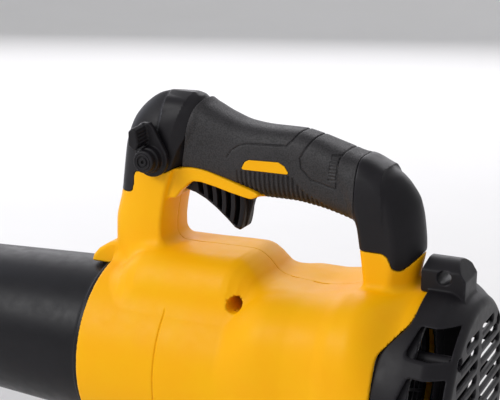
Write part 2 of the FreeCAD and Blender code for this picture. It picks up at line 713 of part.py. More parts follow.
def make_motor():
    """Brushless motor: case, end bell, stator, coils, bearings, magnet rotor and shaft."""
    rear = "motor_rear"
    case = [("motor_front + 4", "motor_radius - motor_wall"), (rear + " - 6", "motor_radius - motor_wall"),
            (rear + " - 6", "bearing_outer"), (rear + " - 1", "bearing_outer"), (rear + " - 1", 4),
            (rear, 4), (rear, "motor_radius"), ("motor_front + 4", "motor_radius")]
    body = turned("motor_case", case)
    holes = sketch_on(body, "YZ_Plane", "motor_rear")
    for y, z in motor_screw_points():
        circle(holes, round(y, 3), round(z, 3), 1.5)
    add_pocket(body, holes, 5)
    front = "motor_front"
    turned("motor_end_bell", [(front, 4), (front + " + 1", 4), (front + " + 1", "bearing_outer"),
                              (front + " + 6", "bearing_outer"), (front + " + 6", 20.4),
                              (front + " + 4", 20.4), (front + " + 4", "motor_radius"),
                              (front, "motor_radius")])
    bore = "shaft_radius + running_gap"
    turned("motor_bearing_front", ring_outline("motor_front + 1", "motor_front + 6", bore, "bearing_outer"))
    turned("motor_bearing_rear", ring_outline(rear + " - 6", rear + " - 1", bore, "bearing_outer"))
    turned("motor_shaft", ring_outline("shaft_front", "shaft_rear", 0, "shaft_radius"))
    magnets = ring_outline("stator_front - 2", "stator_rear + 2", "shaft_radius", "magnet_radius")
    turned("magnet_rotor", magnets)
    make_stator()
    make_coils()


def make_stator():
    """Laminated ring with inward teeth."""
    body = new_body("motor_stator")
    ring = sketch_on(body, "XZ_Plane")
    polygon(ring, ring_outline("stator_front", "stator_rear", "stator_back", "stator_outer"))
    add_turn(body, ring)
    tooth = sketch_on(body, "XY_Plane", "stator_bore + 0.2")
    rectangle(tooth, "stator_front", "stator_rear", "-tooth_width / 2", "tooth_width / 2")
    pad = add_pad(body, tooth, "stator_back - stator_bore + 0.6")
    add_polar(body, pad, "tooth_count")
    place(body)


def make_coils():
    """One copper coil round each stator tooth."""
    body = new_body("one_coil")
    coil = sketch_on(body, "XY_Plane", "stator_bore + 1")
    wide, gap = "tooth_width / 2 + coil_width", "tooth_width / 2 + 0.05"
    rectangle(coil, "stator_front - coil_width - 0.1", "stator_rear + coil_width + 0.1",
              "-(%s)" % wide, wide)
    rectangle(coil, "stator_front - 0.1", "stator_rear + 0.1", "-(%s)" % gap, gap)
    depth = "stator_back - stator_bore - 2"
    add_pad(body, coil, depth)
    coils = []
    for i in range(int(mm("tooth_count"))):
        copy = body.Shape.copy()
        copy.rotate(Vector(0, 0, 0), Vector(1, 0, 0), 360 / mm("tooth_count") * i)
        coils.append(copy)
    shaped("motor_coils", Part.makeCompound(coils))


def make_motor_screws():
    """Four screws through the pod's rear wall into the motor case."""
    screws = []
    for y, z in motor_screw_points():
        shank = rod((mm("motor_rear") - 4.5, y, z), (1, 0, 0), 1.5, mm("pod_rear - motor_rear") + 4.5)
        head = rod((mm("pod_rear"), y, z), (1, 0, 0), 3, 1.8)
        screws.append(shank.fuse(head).removeSplitter())
    shaped("motor_screws", Part.makeCompound(screws))


def make_impeller():
    """Axial impeller: hub with a boss on the shaft and pitched blades."""
    hub = turned_solid([(168, mm("shaft_radius")), (176, mm("shaft_radius")), (176, 23.4),
                        (mm("hub_rear"), 23.4), (mm("hub_rear"), mm("hub_radius")),
                        (mm("hub_front"), mm("hub_radius")), (mm("hub_front"), 23.4), (168, 23.4)])
    half_x = mm("blade_chord") / 2
    half_y = mm("blade_skew") / 2
    half_t = mm("blade_thickness") / 2
    middle = (mm("hub_front") + mm("hub_rear")) / 2
    blades = []
    for i in range(int(mm("blade_count"))):
        corners = [Vector(middle + dx, dy, 24.5) for dx, dy in [
            (-half_x, -half_y - half_t), (0, -half_t + 1.2), (half_x, half_y - half_t),
            (half_x, half_y + half_t), (0, half_t + 1.2), (-half_x, -half_y + half_t)]]
        face = Part.Face(Part.makePolygon(corners + corners[:1]))
        blade = face.extrude(Vector(0, 0, mm("blade_reach") - 24.5))
        blade.rotate(Vector(0, 0, 0), Vector(1, 0, 0), 360 / mm("blade_count") * i)
        blades.append(blade)
    shaped("fan_impeller", one_solid(hub.fuse(blades)))


def make_spinner():
    """Domed nose that closes the impeller's hub on the intake side."""
    dome = Part.BSplineCurve()
    rear = mm("hub_rear")
    tip = mm("spinner_tip")
    dome.interpolate([Vector(x, 0, r) for x, r in [
        (rear, mm("hub_radius")), (rear + 7, 24), (rear + 13, 18.5), (tip - 1.4, 9.5), (tip, 0)]])
    path = [Vector(tip, 0, 0), Vector(rear - 4, 0, 0), Vector(rear - 4, 0, 23.4), Vector(rear, 0, 23.4),
            Vector(rear, 0, mm("hub_radius"))]
    edges = [dome.toShape()] + [Part.LineSegment(a, b).toShape() for a, b in zip(path, path[1:])]
    solid = Part.Face(Part.Wire(edges)).revolve(Vector(0, 0, 0), Vector(1, 0, 0), 360)
    hollow = turned_solid([(rear - 5, 0), (rear - 5, 21), (rear + 4, 21), (rear + 12, 12), (rear + 12, 0)])
    shaped("impeller_spinner", one_solid(solid.cut(hollow)))


def make_fan_nut():
    """Hexagon nut that holds the impeller on the shaft."""
    body = new_body("fan_nut")
    sketch = sketch_on(body, "YZ_Plane", 176)
    across = mm("nut_flats") / math.sqrt(3)
    polygon(sketch, [(round(across * math.cos(math.radians(60 * i)), 3),
                      round(across * math.sin(math.radians(60 * i)), 3)) for i in range(6)])
    circle(sketch, 0, 0, "shaft_radius")
    add_pad(body, sketch, "nut_height")
    place(body)


# ---------------------------------------------------------------- intake

def cage_shell():
    """Turned shell of the cage with its rear face and a spigot inside the housing."""
    wall = mm("cage_wall")
    front, shoulder, rear = mm("side_rear"), mm("cage_shoulder"), mm("cage_rear")
    r0, r1, r2 = mm("cage_front_radius"), mm("cage_radius"), mm("cage_back_radius")
    outer = turned_solid([(front, 0), (front, r0), (front + 16, r1), (shoulder, r1), (rear - 5, r2 + 4),
                          (rear, r2), (rear, 0)])
    inner = turned_solid([(front - 1, 0), (front - 1, r0 - wall), (front + 16, r1 - wall),
                          (shoulder - 1, r1 - wall), (rear - 6, r2 + 0.6), (rear - wall, r2 - wall),
                          (rear - wall, 0)])
    return outer.cut(inner).common(intake_split(0.3))


def make_intake_cover():
    """Black cage: side windows, rear slots, top lug and four screw columns."""
    points = cage_screw_points()
    join, rear = mm("housing_rear"), mm("cage_rear")
    columns = [rod((join - 4, y, z), (1, 0, 0), mm("boss_radius"), rear - join + 1) for y, z in points]
    holes = [rod((join - 6, y, z), (1, 0, 0), mm("screw_radius"), 60) for y, z in points]
    heads = [rod((rear - 5, y, z), (1, 0, 0), mm("screw_head + 0.3"), 9) for y, z in points]
    cage = cage_shell().cut(side_windows() + rear_slots())
    cage = cage.fuse([cage_spigot(), cage_lug()] + columns)
    post_room = box(180, 223.3, -30, 30, 60, 130)
    bay = [box(180, 300, -43, 43, -130, -69.7), dock_bay()]
    shaped("intake_cover", one_solid(cage.cut(holes + heads + [post_room] + bay)))


def cage_spigot():
    """Ring inside the housing's rear edge, notched for the webs of the housing's bosses."""
    front, edge = mm("side_rear") + 0.3, mm("housing_rear") + 0.5
    inner, slip, outer = 71, 73.8, 77
    ring = turned_solid([(front, inner), (front, slip), (edge, slip), (edge, outer), (edge + 7, outer),
                         (edge + 7, inner)])
    notches = []
    for y, z in cage_screw_points():
        notch = box(front - 1, edge - 2, -1.8, 1.8, inner - 2, outer + 2)
        notch.rotate(Vector(0, 0, 0), Vector(1, 0, 0), math.degrees(math.atan2(-y, z)))
        notches.append(notch)
    return ring.cut(notches)


def cage_lug():
    """Block at the top of the cage, just behind the handle's rear post, with a hanging hole across it."""
    outline = [(229, 72), (227, 76.5), (227, 91), (229.5, 97), (248, 97), (256, 86), (256, 72)]
    half = mm("lug_half_width")
    eye = rod((mm("lug_eye_x"), -30, mm("lug_eye_z")), (0, 1, 0), 4.5, 60)
    clear = mm("housing_rear") + 0.3
    seat = turned_solid([(200, 0), (clear, 0), (clear, 77.3), (200, 77.3)])
    return side_prism(outline, -half, half).cut([eye, seat])


def dock_bay():
    """Room for the dock and the pack's tongue under the cage."""
    half = mm("dock_wall_outer") + 1
    return box(180, 300, -half, half, -130, -mm("dock_plate_top") + 0.5)


def side_windows():
    """Slanted air windows down both sides of the cage."""
    windows = []
    for side in (-1, 1):
        for centre in (-44, -19, 7, 32, 57):
            slab = side_prism([(234, centre - 7), (262, centre - 9), (262, centre + 7), (238, centre + 8)],
                              side * 20, side * 90)
            windows.append(slab.common(turned_solid([(225, 60), (260, 60), (260, 90), (225, 90)])))
    return windows


def rear_slots():
    """Horizontal slots in the rear face."""
    slots = []
    rear = mm("cage_rear")
    for i in range(-5, 6):
        z = 10 * i
        reach = math.sqrt(60 ** 2 - z ** 2) - 2
        for side in (-1, 1):
            y0, y1 = sorted((side * 4, side * reach))
            slots.append(box(rear - 8, rear + 4, y0, y1, z - 3, z + 3))
    return slots


def make_intake_screen():
    """Finger guard between the cage and the impeller: rings on spokes."""
    x0, x1 = mm("screen_front"), mm("screen_rear")
    rings = [turned_solid(ring_outline(x0, x1, r, r + 2.2)) for r in (12, 24, 36, 48)]
    rim = turned_solid(ring_outline(x0, x1, 58, mm("screen_radius")))
    hub = turned_solid([(x0, 0), (x0, 4), (x1, 4), (x1, 0)])
    spokes = []
    for i in range(8):
        spoke = box(x0, x1, -1.1, 1.1, 3, 59)
        spoke.rotate(Vector(0, 0, 0), Vector(1, 0, 0), 22.5 + 45 * i)
        spokes.append(spoke)
    screen = rim.fuse(rings + [hub] + spokes)
    shaped("intake_screen", one_solid(screen.cut(dock_bay())))


def make_cage_screws():
    """Four screws down the cage's columns into the housing."""
    screws = []
    for y, z in cage_screw_points():
        length = mm("cage_rear - housing_rear") + 15
        shank = rod((mm("housing_rear") - 20, y, z), (1, 0, 0), mm("screw_radius"), length)
        head = rod((mm("cage_rear") - 5, y, z), (1, 0, 0), mm("screw_head"), 2.6)
        screws.append(shank.fuse(head).removeSplitter())
    shaped("intake_screws", Part.makeCompound(screws))


# ---------------------------------------------------------------- blow tube and nozzle

def make_tube():
    """Tapered blow tube with a collar and a socket that enters the housing."""
    root, tip, wall = mm("tube_root"), mm("tube_tip"), mm("tube_wall")
    reach, depth = mm("tube_reach"), mm("socket_depth")
    front = -mm("collar_front")
    gap = mm("face_gap")
    socket = mm("socket_radius")
    tube = turned_solid([(-reach, tip - wall), (front, root - wall), (-gap, socket - wall),
                         (depth, socket - wall), (depth, socket), (-gap, socket),
                         (-gap, mm("collar_radius")), (front, mm("collar_radius")), (front, root),
                         (-reach, tip)])
    keyway = box(front - 1, 0, -12.5, 12.5, socket, 80)
    catch = box(13, depth + 1, -6.5, 6.5, -70, -40)
    shaped("blow_tube", one_solid(tube.cut([keyway, catch])))


def tube_radius(x):
    """Outside radius of the tube at x."""
    root, tip = mm("tube_root"), mm("tube_tip")
    share = (-mm("collar_front") - x) / (mm("tube_reach") - mm("collar_front"))
    return root + (tip - root) * share


def make_nozzle():
    """Nozzle that slips over the tube's end and narrows to a straight outlet."""
    wall, fit = mm("nozzle_wall"), mm("nozzle_fit")
    tube_end, outlet = -mm("tube_reach"), -mm("nozzle_reach")
    start = tube_end + mm("nozzle_overlap")
    shoulder = tube_end - 4
    tip = mm("nozzle_tip")
    mouth = tube_radius(start) + fit
    step = mm("tube_tip") - wall
    inside = [(start, mouth), (tube_end, tube_radius(tube_end) + fit), (tube_end - 0.5, step),
              (shoulder - 8, step - 0.5), (outlet, tip - wall)]
    outside = [(outlet, tip), (outlet + mm("outlet_length"), tip), (shoulder - 8, mm("tube_tip") + 1.5),
               (shoulder + 8, tube_radius(shoulder) + fit + wall), (start, mouth + wall)]
    shaped("nozzle_tip", one_solid(turned_solid(inside + outside)))


def make_duct_seal():
    turned("duct_seal", ring_outline("socket_depth + 0.3", "duct_front", "duct_inner + 0.2", "socket_radius"))


def make_tube_latch():
    """Release slider in the front foot: tooth into the tube's catch and a finger pad in front."""
    body = new_body("tube_latch_button")
    stem = sketch_on(body, "XZ_Plane")
    polygon(stem, [(14.5, -58.2), (21.5, -58.2), (21.5, -84), (4, -84), (4, -77), (14.5, -77)])
    add_pad(body, stem, 11, symmetric=True)
    pad = sketch_on(body, "XZ_Plane")
    rectangle(pad, 2.5, 8, -84.5, -76.5)
    add_pad(body, pad, 13.6, symmetric=True)
    place(body)


def make_tube_latch_spring():
    """Coil spring that lifts the slider, as the sleeve that its coils fill."""
    body = new_body("tube_latch_spring")
    sketch = sketch_on(body, "XY_Plane", -102)
    circle(sketch, 18, 0, 3.4)
    circle(sketch, 18, 0, 2.5)
    add_pad(body, sketch, 18)
    place(body)


# ---------------------------------------------------------------- battery dock and pack

def make_dock():
    """Dock plate with two rails that the pack's tongue slides into."""
    body = new_body("battery_dock")
    profile = sketch_on(body, "YZ_Plane", "dock_front")
    out, inn, lip = "dock_wall_outer", "dock_wall_inner", "dock_lip_inner"
    top, low, ledge, bottom = "-dock_plate_top", "-dock_plate_low", "-dock_lip_top", "-pack_top + 1"
    right = [(out, top), (out, bottom), (lip, bottom), (lip, ledge), (inn, ledge), (inn, low)]
    left = [("-" + u, v) for u, v in reversed(right)]
    polygon(profile, right + left)
    add_pad(body, profile, "dock_rear - dock_front")
    wall = sketch_on(body, "YZ_Plane", "dock_front")
    rectangle(wall, "-" + inn, inn, bottom, low)
    add_pad(body, wall, 3)
    notch = sketch_on(body, "XY_Plane", "-dock_plate_low")
    rectangle(notch, 221.5, "dock_rear + 1", -8.5, 8.5)
    add_pocket(body, notch, 10, reverse=True)
    place(body)


def make_terminal_block():
    """Contact block in the dock with four blades that point to the rear."""
    body = new_body("terminal_block")
    block = sketch_on(body, "XY_Plane", -77)
    rectangle(block, "dock_front + 3", "tongue_front - 1.5", -20, 20)
    add_pad(body, block, "77 - dock_plate_low")
    for y in (-15, -5, 5, 15):
        blade = sketch_on(body, "XY_Plane", -72)
        rectangle(blade, "tongue_front - 2.5", "tongue_front + 12", y - 0.4, y + 0.4)
        add_pad(body, blade, 4.5)
    place(body)


def make_pack_upper():
    """Upper case of the battery pack with the tongue, the contact slots and the latch pocket."""
    body = new_body("battery_case_upper")
    case = sketch_on(body, "XZ_Plane")
    rectangle(case, "pack_front", "pack_rear", "-pack_split", "-pack_top")
    add_pad(body, case, "2 * pack_half_width", symmetric=True)
    neck = sketch_on(body, "XZ_Plane")
    rectangle(neck, "tongue_front", "tongue_rear", "-pack_top", "-tongue_top")
    add_pad(body, neck, "2 * neck_half_width", symmetric=True)
    tongue = sketch_on(body, "XZ_Plane")
    rectangle(tongue, "tongue_front", "tongue_rear", "-dock_lip_top + 0.4", "-tongue_top")
    add_pad(body, tongue, "2 * tongue_half_width", symmetric=True)
    hollow = sketch_on(body, "XZ_Plane")
    wall = "pack_wall"
    polygon(hollow, [("pack_front + " + wall, "-pack_split"), ("pack_rear - " + wall, "-pack_split"),
                     ("pack_rear - " + wall, "-pack_top - 6.5"), ("pack_rear - 12", "-pack_top - 6.5"),
                     ("pack_rear - 12", "-pack_top - " + wall),
                     ("tongue_rear - " + wall, "-pack_top - " + wall),
                     ("tongue_rear - " + wall, "-tongue_top - 2"), ("tongue_front + 15", "-tongue_top - 2"),
                     ("tongue_front + 15", "-pack_top - " + wall),
                     ("pack_front + " + wall, "-pack_top - " + wall)])
    add_pocket(body, hollow, "2 * neck_half_width - 2 * pack_wall", symmetric=True)
    room = sketch_on(body, "XZ_Plane")
    rectangle(room, "pack_front + " + wall, "pack_rear - " + wall, "-pack_split", "-pack_top - 6.5")
    add_pocket(body, room, "2 * pack_half_width - 2 * pack_wall", symmetric=True)
    slots = sketch_on(body, "XY_Plane", "-tongue_top")
    for y in (-15, -5, 5, 15):
        rectangle(slots, "tongue_front - 1", "tongue_front + 13", y - 1.1, y + 1.1)
    add_pocket(body, slots, 7)
    pocket = sketch_on(body, "XY_Plane", "-tongue_top")
    rectangle(pocket, 213.5, "tongue_rear + 1", -10.5, 10.5)
    add_pocket(body, pocket, 15)
    pad_room = sketch_on(body, "XY_Plane", "-pack_top")
    rectangle(pad_room, "tongue_rear - 1", "pack_rear + 1", -14, 14)
    add_pocket(body, pad_room, 5)
    drill_pack(body, "-pack_top - 7.5", 4)
    place(body)


def make_pack_lower():
    """Lower case of the battery pack."""
    body = new_body("battery_case_lower")
    case = sketch_on(body, "XZ_Plane")
    rectangle(case, "pack_front", "pack_rear", "-axis_height", "-pack_split")
    add_pad(body, case, "2 * pack_half_width", symmetric=True)
    room = sketch_on(body, "XZ_Plane")
    rectangle(room, "pack_front + pack_wall", "pack_rear - pack_wall", "-axis_height + pack_wall",
              "-pack_split")
    add_pocket(body, room, "2 * pack_half_width - 2 * pack_wall", symmetric=True)
    gauge = sketch_on(body, "YZ_Plane", "pack_rear")
    circle(gauge, -18, -106, 4.4)
    add_pocket(body, gauge, 3)
    drill_pack(body, "-axis_height - 1", "pack_wall + 2")
    place(body)


def pack_screw_points():
    return [(x, y) for x in (125, 244.5) for y in (-34.5, 34.5)]


def drill_pack(body, low, depth):
    """Screw holes up from a height of the pack's case."""
    holes = sketch_on(body, "XY_Plane", low)
    for x, y in pack_screw_points():
        circle(holes, x, y, "pack_screw")
    add_pocket(body, holes, depth, reverse=True)


def make_cells():
    """Ten round cells in two rows, across the pack."""
    cells = []
    radius, length = mm("cell_radius"), mm("cell_length")
    for z in (-94.2, -112.8):
        for i in range(5):
            x = mm("pack_front + pack_wall") + radius + 3.5 + mm("cell_pitch") * i
            cells.append(rod((x, -length / 2, z), (0, 1, 0), radius, length))
    shaped("battery_cells", Part.makeCompound(cells))


def make_release_button():
    """Release slider of the pack: base, tooth into the dock's notch and a finger pad behind."""
    body = new_body("battery_release_button")
    side = sketch_on(body, "XZ_Plane")
    polygon(side, [(214.5, -80), (237, -80), (237, -77.6), (246.5, -77.6), (247.6, -73.6), (236.5, -73.6),
                   (230, -75.5), (230, -62.8), (226, -62.8), (222, -66), (222, -75.5), (214.5, -75.5)])
    add_pad(body, side, 16, symmetric=True)
    place(body)


def make_release_spring():
    """Coil spring under the release slider, as the sleeve that its coils fill."""
    body = new_body("battery_release_spring")
    sketch = sketch_on(body, "XY_Plane", -84.2)
    circle(sketch, 219, 0, 3)
    circle(sketch, 219, 0, 2.2)
    add_pad(body, sketch, 4.2)
    place(body)


def make_gauge_button():
    """Charge gauge button in the pack's rear face."""
    body = new_body("battery_gauge_button")
    sketch = sketch_on(body, "YZ_Plane", "pack_rear - 1.5")
    circle(sketch, -18, -106, 4.1)
    add_pad(body, sketch, 2.3)
    place(body)


# ---------------------------------------------------------------- electronics and wiring

def make_board():
    """Control board under the deck with its capacitors and power transistors."""
    body = new_body("control_board")
    plate = sketch_on(body, "XY_Plane", 65.5)
    rectangle(plate, 24, 104, -30, 30)
    add_pad(body, plate, 1.6)
    for x, y in ((34, -20), (34, 20), (92, -20)):
        can = sketch_on(body, "XY_Plane", 67)
        circle(can, x, y, 5)
        add_pad(body, can, 9)
    fets = sketch_on(body, "XY_Plane", 67)
    rectangle(fets, 52, 84, -12, 12)
    add_pad(body, fets, 3)
    place(body)


def make_heat_sink():
    """Finned heat sink on the power transistors."""
    body = new_body("heat_sink")
    base = sketch_on(body, "XZ_Plane")
    comb = [(50, 70), (86, 70), (86, 72)]
    for i in range(6):
        x = 86 - 6.6 * i
        comb += [(x, 78.5), (x - 3, 78.5), (x - 3, 72), (x - 6.6, 72)]
    polygon(base, comb[:-2])
    add_pad(body, base, 26, symmetric=True)
    place(body)


def lead(points, radius):
    """Wire along straight runs joined by tangent arcs."""
    corners = [Vector(*point) for point in points]
    edges = []
    start = corners[0]
    for before, corner, after in zip(corners, corners[1:], corners[2:]):
        run_in, run_out = (corner - before), (after - corner)
        turn = run_in.getAngle(run_out)
        cut = 0.45 * min(run_in.Length, run_out.Length)
        bend = cut / math.tan(turn / 2)
        inward, outward = run_in.normalize(), run_out.normalize()
        first, last = corner - inward * cut, corner + outward * cut
        centre = first + (outward - inward * outward.dot(inward)).normalize() * bend
        middle = centre + ((corner - centre).normalize()) * bend
        edges.append(Part.LineSegment(start, first).toShape())
        edges.append(Part.Arc(first, middle, last).toShape())
        start = last
    edges.append(Part.LineSegment(start, corners[-1]).toShape())
    path = Part.Wire(edges)
    section = Part.Wire(Part.makeCircle(radius, corners[0], corners[1] - corners[0]))
    return path.makePipeShell([section], True, True)


def make_leads():
    """Three motor leads up through the duct and two battery leads round its outside."""
    motor = [lead([(96.5, y, 22.5), (96.5, y, 45), (96.5, y * 1.35, 65.4)], 1.2) for y in (-3, 0.05, 3)]
    shaped("motor_leads", Part.makeCompound(motor))
    battery = []
    for x in (109.35, 111.65):
        battery.append(lead([(x, 22, -63.9), (x, 46, -44), (x, 61.9, -8), (x, 58.5, 24), (x, 38, 49.5),
                             (x, 22, 62.5), (x, 12, 70)], 1.1))
    shaped("battery_leads", Part.makeCompound(battery))


def make_housing_screws():
    """Clamshell screws, heads on the left."""
    screws = []
    for x, z in SCREW_POINTS:
        head = rod((x, -14, z), (0, -1, 0), mm("screw_head"), 2.6)
        shank = rod((x, -14, z), (0, 1, 0), mm("screw_radius"), 14 + 11)
        screws.append(head.fuse(shank).removeSplitter())
    shaped("housing_screws", Part.makeCompound(screws))


def make_foot_pads():
    """Two rubber pads under the front foot."""
    low, high = -mm("axis_height"), -mm("foot_low")
    pads = [box(14, 46, y - 8, y + 8, low, high) for y in (-21, 21)]
    shaped("foot_pads", Part.makeCompound(pads))


def make_pack_screws():
    """Four screws up into the pack's upper case."""
    screws = []
    for x, y in pack_screw_points():
        screws.append(rod((x, y, -mm("axis_height") + 0.6), (0, 0, 1), mm("pack_screw"), 41.6))
    shaped("battery_screws", Part.makeCompound(screws))


# ---------------------------------------------------------------- build, check and write

def check_document():
    """Stop if any object failed or any sub-part's shape is null or broken."""
    doc.recompute()
    for item in doc.Objects:
        if "Invalid" in item.State or "Error" in item.State:
            raise RuntimeError(item.Label + " failed: " + str(item.State))
    for item in parts:
        if item.Shape.isNull() or not item.Shape.isValid() or not item.Shape.Solids:
            raise RuntimeError(item.Label + " has no valid solid")


def write_parts():
    os.makedirs("parts", exist_ok=True)
    for item in parts:
        item.Shape.exportStep("parts/%s.step" % item.Label)
        print("%-26s %d solids %9.2f cm3" % (item.Label, len(item.Shape.Solids), item.Shape.Volume / 1000))


handle_skin, handle_core = make_housing()
make_overmold(handle_skin, handle_core)
make_trigger()
make_trigger_pin()
make_trigger_spring()
make_trigger_switch()
make_lever()
make_lever_spindle()
make_lever_cap()
make_duct()
make_tail_cone()
make_motor()
make_motor_screws()
make_impeller()
make_spinner()
make_fan_nut()
make_intake_cover()
make_intake_screen()
make_cage_screws()
make_tube()
make_nozzle()
make_duct_seal()
make_tube_latch()
make_tube_latch_spring()
make_dock()
make_terminal_block()
make_pack_upper()
make_pack_lower()
make_cells()
make_release_button()
make_release_spring()
make_gauge_button()
make_board()
make_heat_sink()
make_leads()
make_housing_screws()
make_foot_pads()
make_pack_screws()
check_document()
write_parts()
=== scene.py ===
import json
import math

import bpy
import numpy as np
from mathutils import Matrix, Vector


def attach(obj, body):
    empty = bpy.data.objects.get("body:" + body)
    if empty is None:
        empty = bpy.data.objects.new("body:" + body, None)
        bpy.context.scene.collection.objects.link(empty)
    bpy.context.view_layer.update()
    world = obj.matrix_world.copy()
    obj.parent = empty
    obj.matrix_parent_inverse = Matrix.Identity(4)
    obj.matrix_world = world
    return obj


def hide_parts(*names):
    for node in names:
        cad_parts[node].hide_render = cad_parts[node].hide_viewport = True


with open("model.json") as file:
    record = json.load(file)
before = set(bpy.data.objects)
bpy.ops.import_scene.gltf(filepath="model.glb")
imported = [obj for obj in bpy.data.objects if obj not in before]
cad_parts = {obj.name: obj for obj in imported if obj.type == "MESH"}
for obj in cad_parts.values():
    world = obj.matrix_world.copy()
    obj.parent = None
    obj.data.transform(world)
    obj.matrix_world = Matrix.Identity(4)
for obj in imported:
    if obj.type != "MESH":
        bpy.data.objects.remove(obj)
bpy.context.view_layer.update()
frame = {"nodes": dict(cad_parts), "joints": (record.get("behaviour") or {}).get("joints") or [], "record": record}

# Looks of the cordless axial leaf blower. Shapes are written in millimetres in the fan frame: the fan
# axis is X, x = 0 is the housing's front rim, -X points to the nozzle and -Y to the left side. A shape
# is a field: a function of x, y, z that is negative inside it. A piece is the mesh of a field's zero
# surface, so rounded edges, fillets, seams and grooves are all part of its geometry.

joints = {joint["name"]: joint for joint in frame["joints"]}
LEVER_X, LEVER_Z = 40.0, 145.0
ORIGIN = np.array([
    joints["lever_turn"]["pos_m"][0] - LEVER_X / 1000, 0.0, joints["fan_spin"]["pos_m"][2]])
COARSE = 1.0


# ---------------------------------------------------------------- fields

def curve(points):
    """Smooth monotone function through (u, v) points, carried on straight beyond its ends."""
    u, v = np.array(points, float).T
    secant = np.diff(v) / np.diff(u)
    product = secant[:-1] * secant[1:]
    total = np.where(product > 0, secant[:-1] + secant[1:], 1)
    middle = np.where(product > 0, 2 * product / total, 0)
    slope = np.concatenate([secant[:1], middle, secant[-1:]])

    def value(at):
        at = np.asarray(at, float)
        held = np.clip(at, u[0], u[-1])
        i = np.clip(np.searchsorted(u, held, side="right") - 1, 0, len(u) - 2)
        width = u[i + 1] - u[i]
        t = (held - u[i]) / width
        start = (1 + 2 * t) * (1 - t) ** 2 * v[i] + t * (1 - t) ** 2 * width * slope[i]
        end = t * t * (3 - 2 * t) * v[i + 1] + t * t * (t - 1) * width * slope[i + 1]
        return start + end + np.where(at < u[0], slope[0], slope[-1]) * (at - held)
    return value


def ramp(start, end, at):
    """0 before start, 1 after end, smooth between."""
    t = np.clip((at - start) / (end - start), 0, 1)
    return t * t * (3 - 2 * t)


def meet(a, b, radius=0.0):
    """Common part of two fields, with its edge rounded."""
    if not radius:
        return np.maximum(a, b)
    u, v = a + radius, b + radius
    return np.hypot(np.maximum(u, 0), np.maximum(v, 0)) + np.minimum(np.maximum(u, v), 0) - radius


def join(a, b, radius=0.0):
    """Union of two fields, with a fillet between them."""
    return -meet(-a, -b, radius)


def cut(a, b, radius=0.0):
    """Field a without field b, with its edge rounded."""
    return meet(a, -b, radius)


def groove(field, distance, width, depth):
    """Field with a channel pressed in where distance is near zero."""
    return field + depth * np.exp(-(distance / width) ** 2)


def slab(low, high, at):
    return np.maximum(low - at, at - high)


def block(x, y, z, low, high, radius=0.0):
    """Box with rounded edges."""
    faces = [slab(a, b, at) + radius for a, b, at in zip(low, high, (x, y, z))]
    outside = np.sqrt(sum(np.maximum(face, 0) ** 2 for face in faces))
    return outside + np.minimum(np.maximum(np.maximum(faces[0], faces[1]), faces[2]), 0) - radius


def polygon(x, z, points):
    """Distance to the outline of an (x, z) polygon, negative inside."""
    distance = np.inf
    inside = np.zeros(np.broadcast(x, z).shape, bool)
    for (x0, z0), (x1, z1) in zip(points, points[1:] + points[:1]):
        distance = np.minimum(distance, segment(x, z, x0, z0, x1, z1))
        crosses = (z0 > z) != (z1 > z)
        inside ^= crosses & (x < x0 + (z - z0) * (x1 - x0) / ((z1 - z0) or 1.0))
    return np.where(inside, -distance, distance)


def segment(x, z, x0, z0, x1, z1):
    """Distance to a straight line between two (x, z) points."""
    run_x, run_z = x1 - x0, z1 - z0
    share = ((x - x0) * run_x + (z - z0) * run_z) / (run_x ** 2 + run_z ** 2)
    share = np.clip(share, 0, 1)
    return np.hypot(x - x0 - share * run_x, z - z0 - share * run_z)


def line(x, z, points):
    """Distance to an open line through (x, z) points."""
    distances = [segment(x, z, *a, *b) for a, b in zip(points, points[1:])]
    return np.minimum.reduce(distances)


def above(bound, u, v):
    """Field of the side of a curve v = bound(u) that has the larger v."""
    tilt = (bound(u + 0.05) - bound(u - 0.05)) / 0.1
    return (bound(u) - v) / np.sqrt(1 + tilt ** 2)


# ---------------------------------------------------------------- meshes of fields

def axis(low, high, step, fine=()):
    """Sample positions, spaced by step, and closer near each (centre, reach, step) of fine."""
    places = [low]
    while places[-1] < high:
        near = [close for centre, reach, close in fine if abs(places[-1] - centre) < reach]
        places.append(places[-1] + COARSE * min(near + [step]))
    return np.array(places)


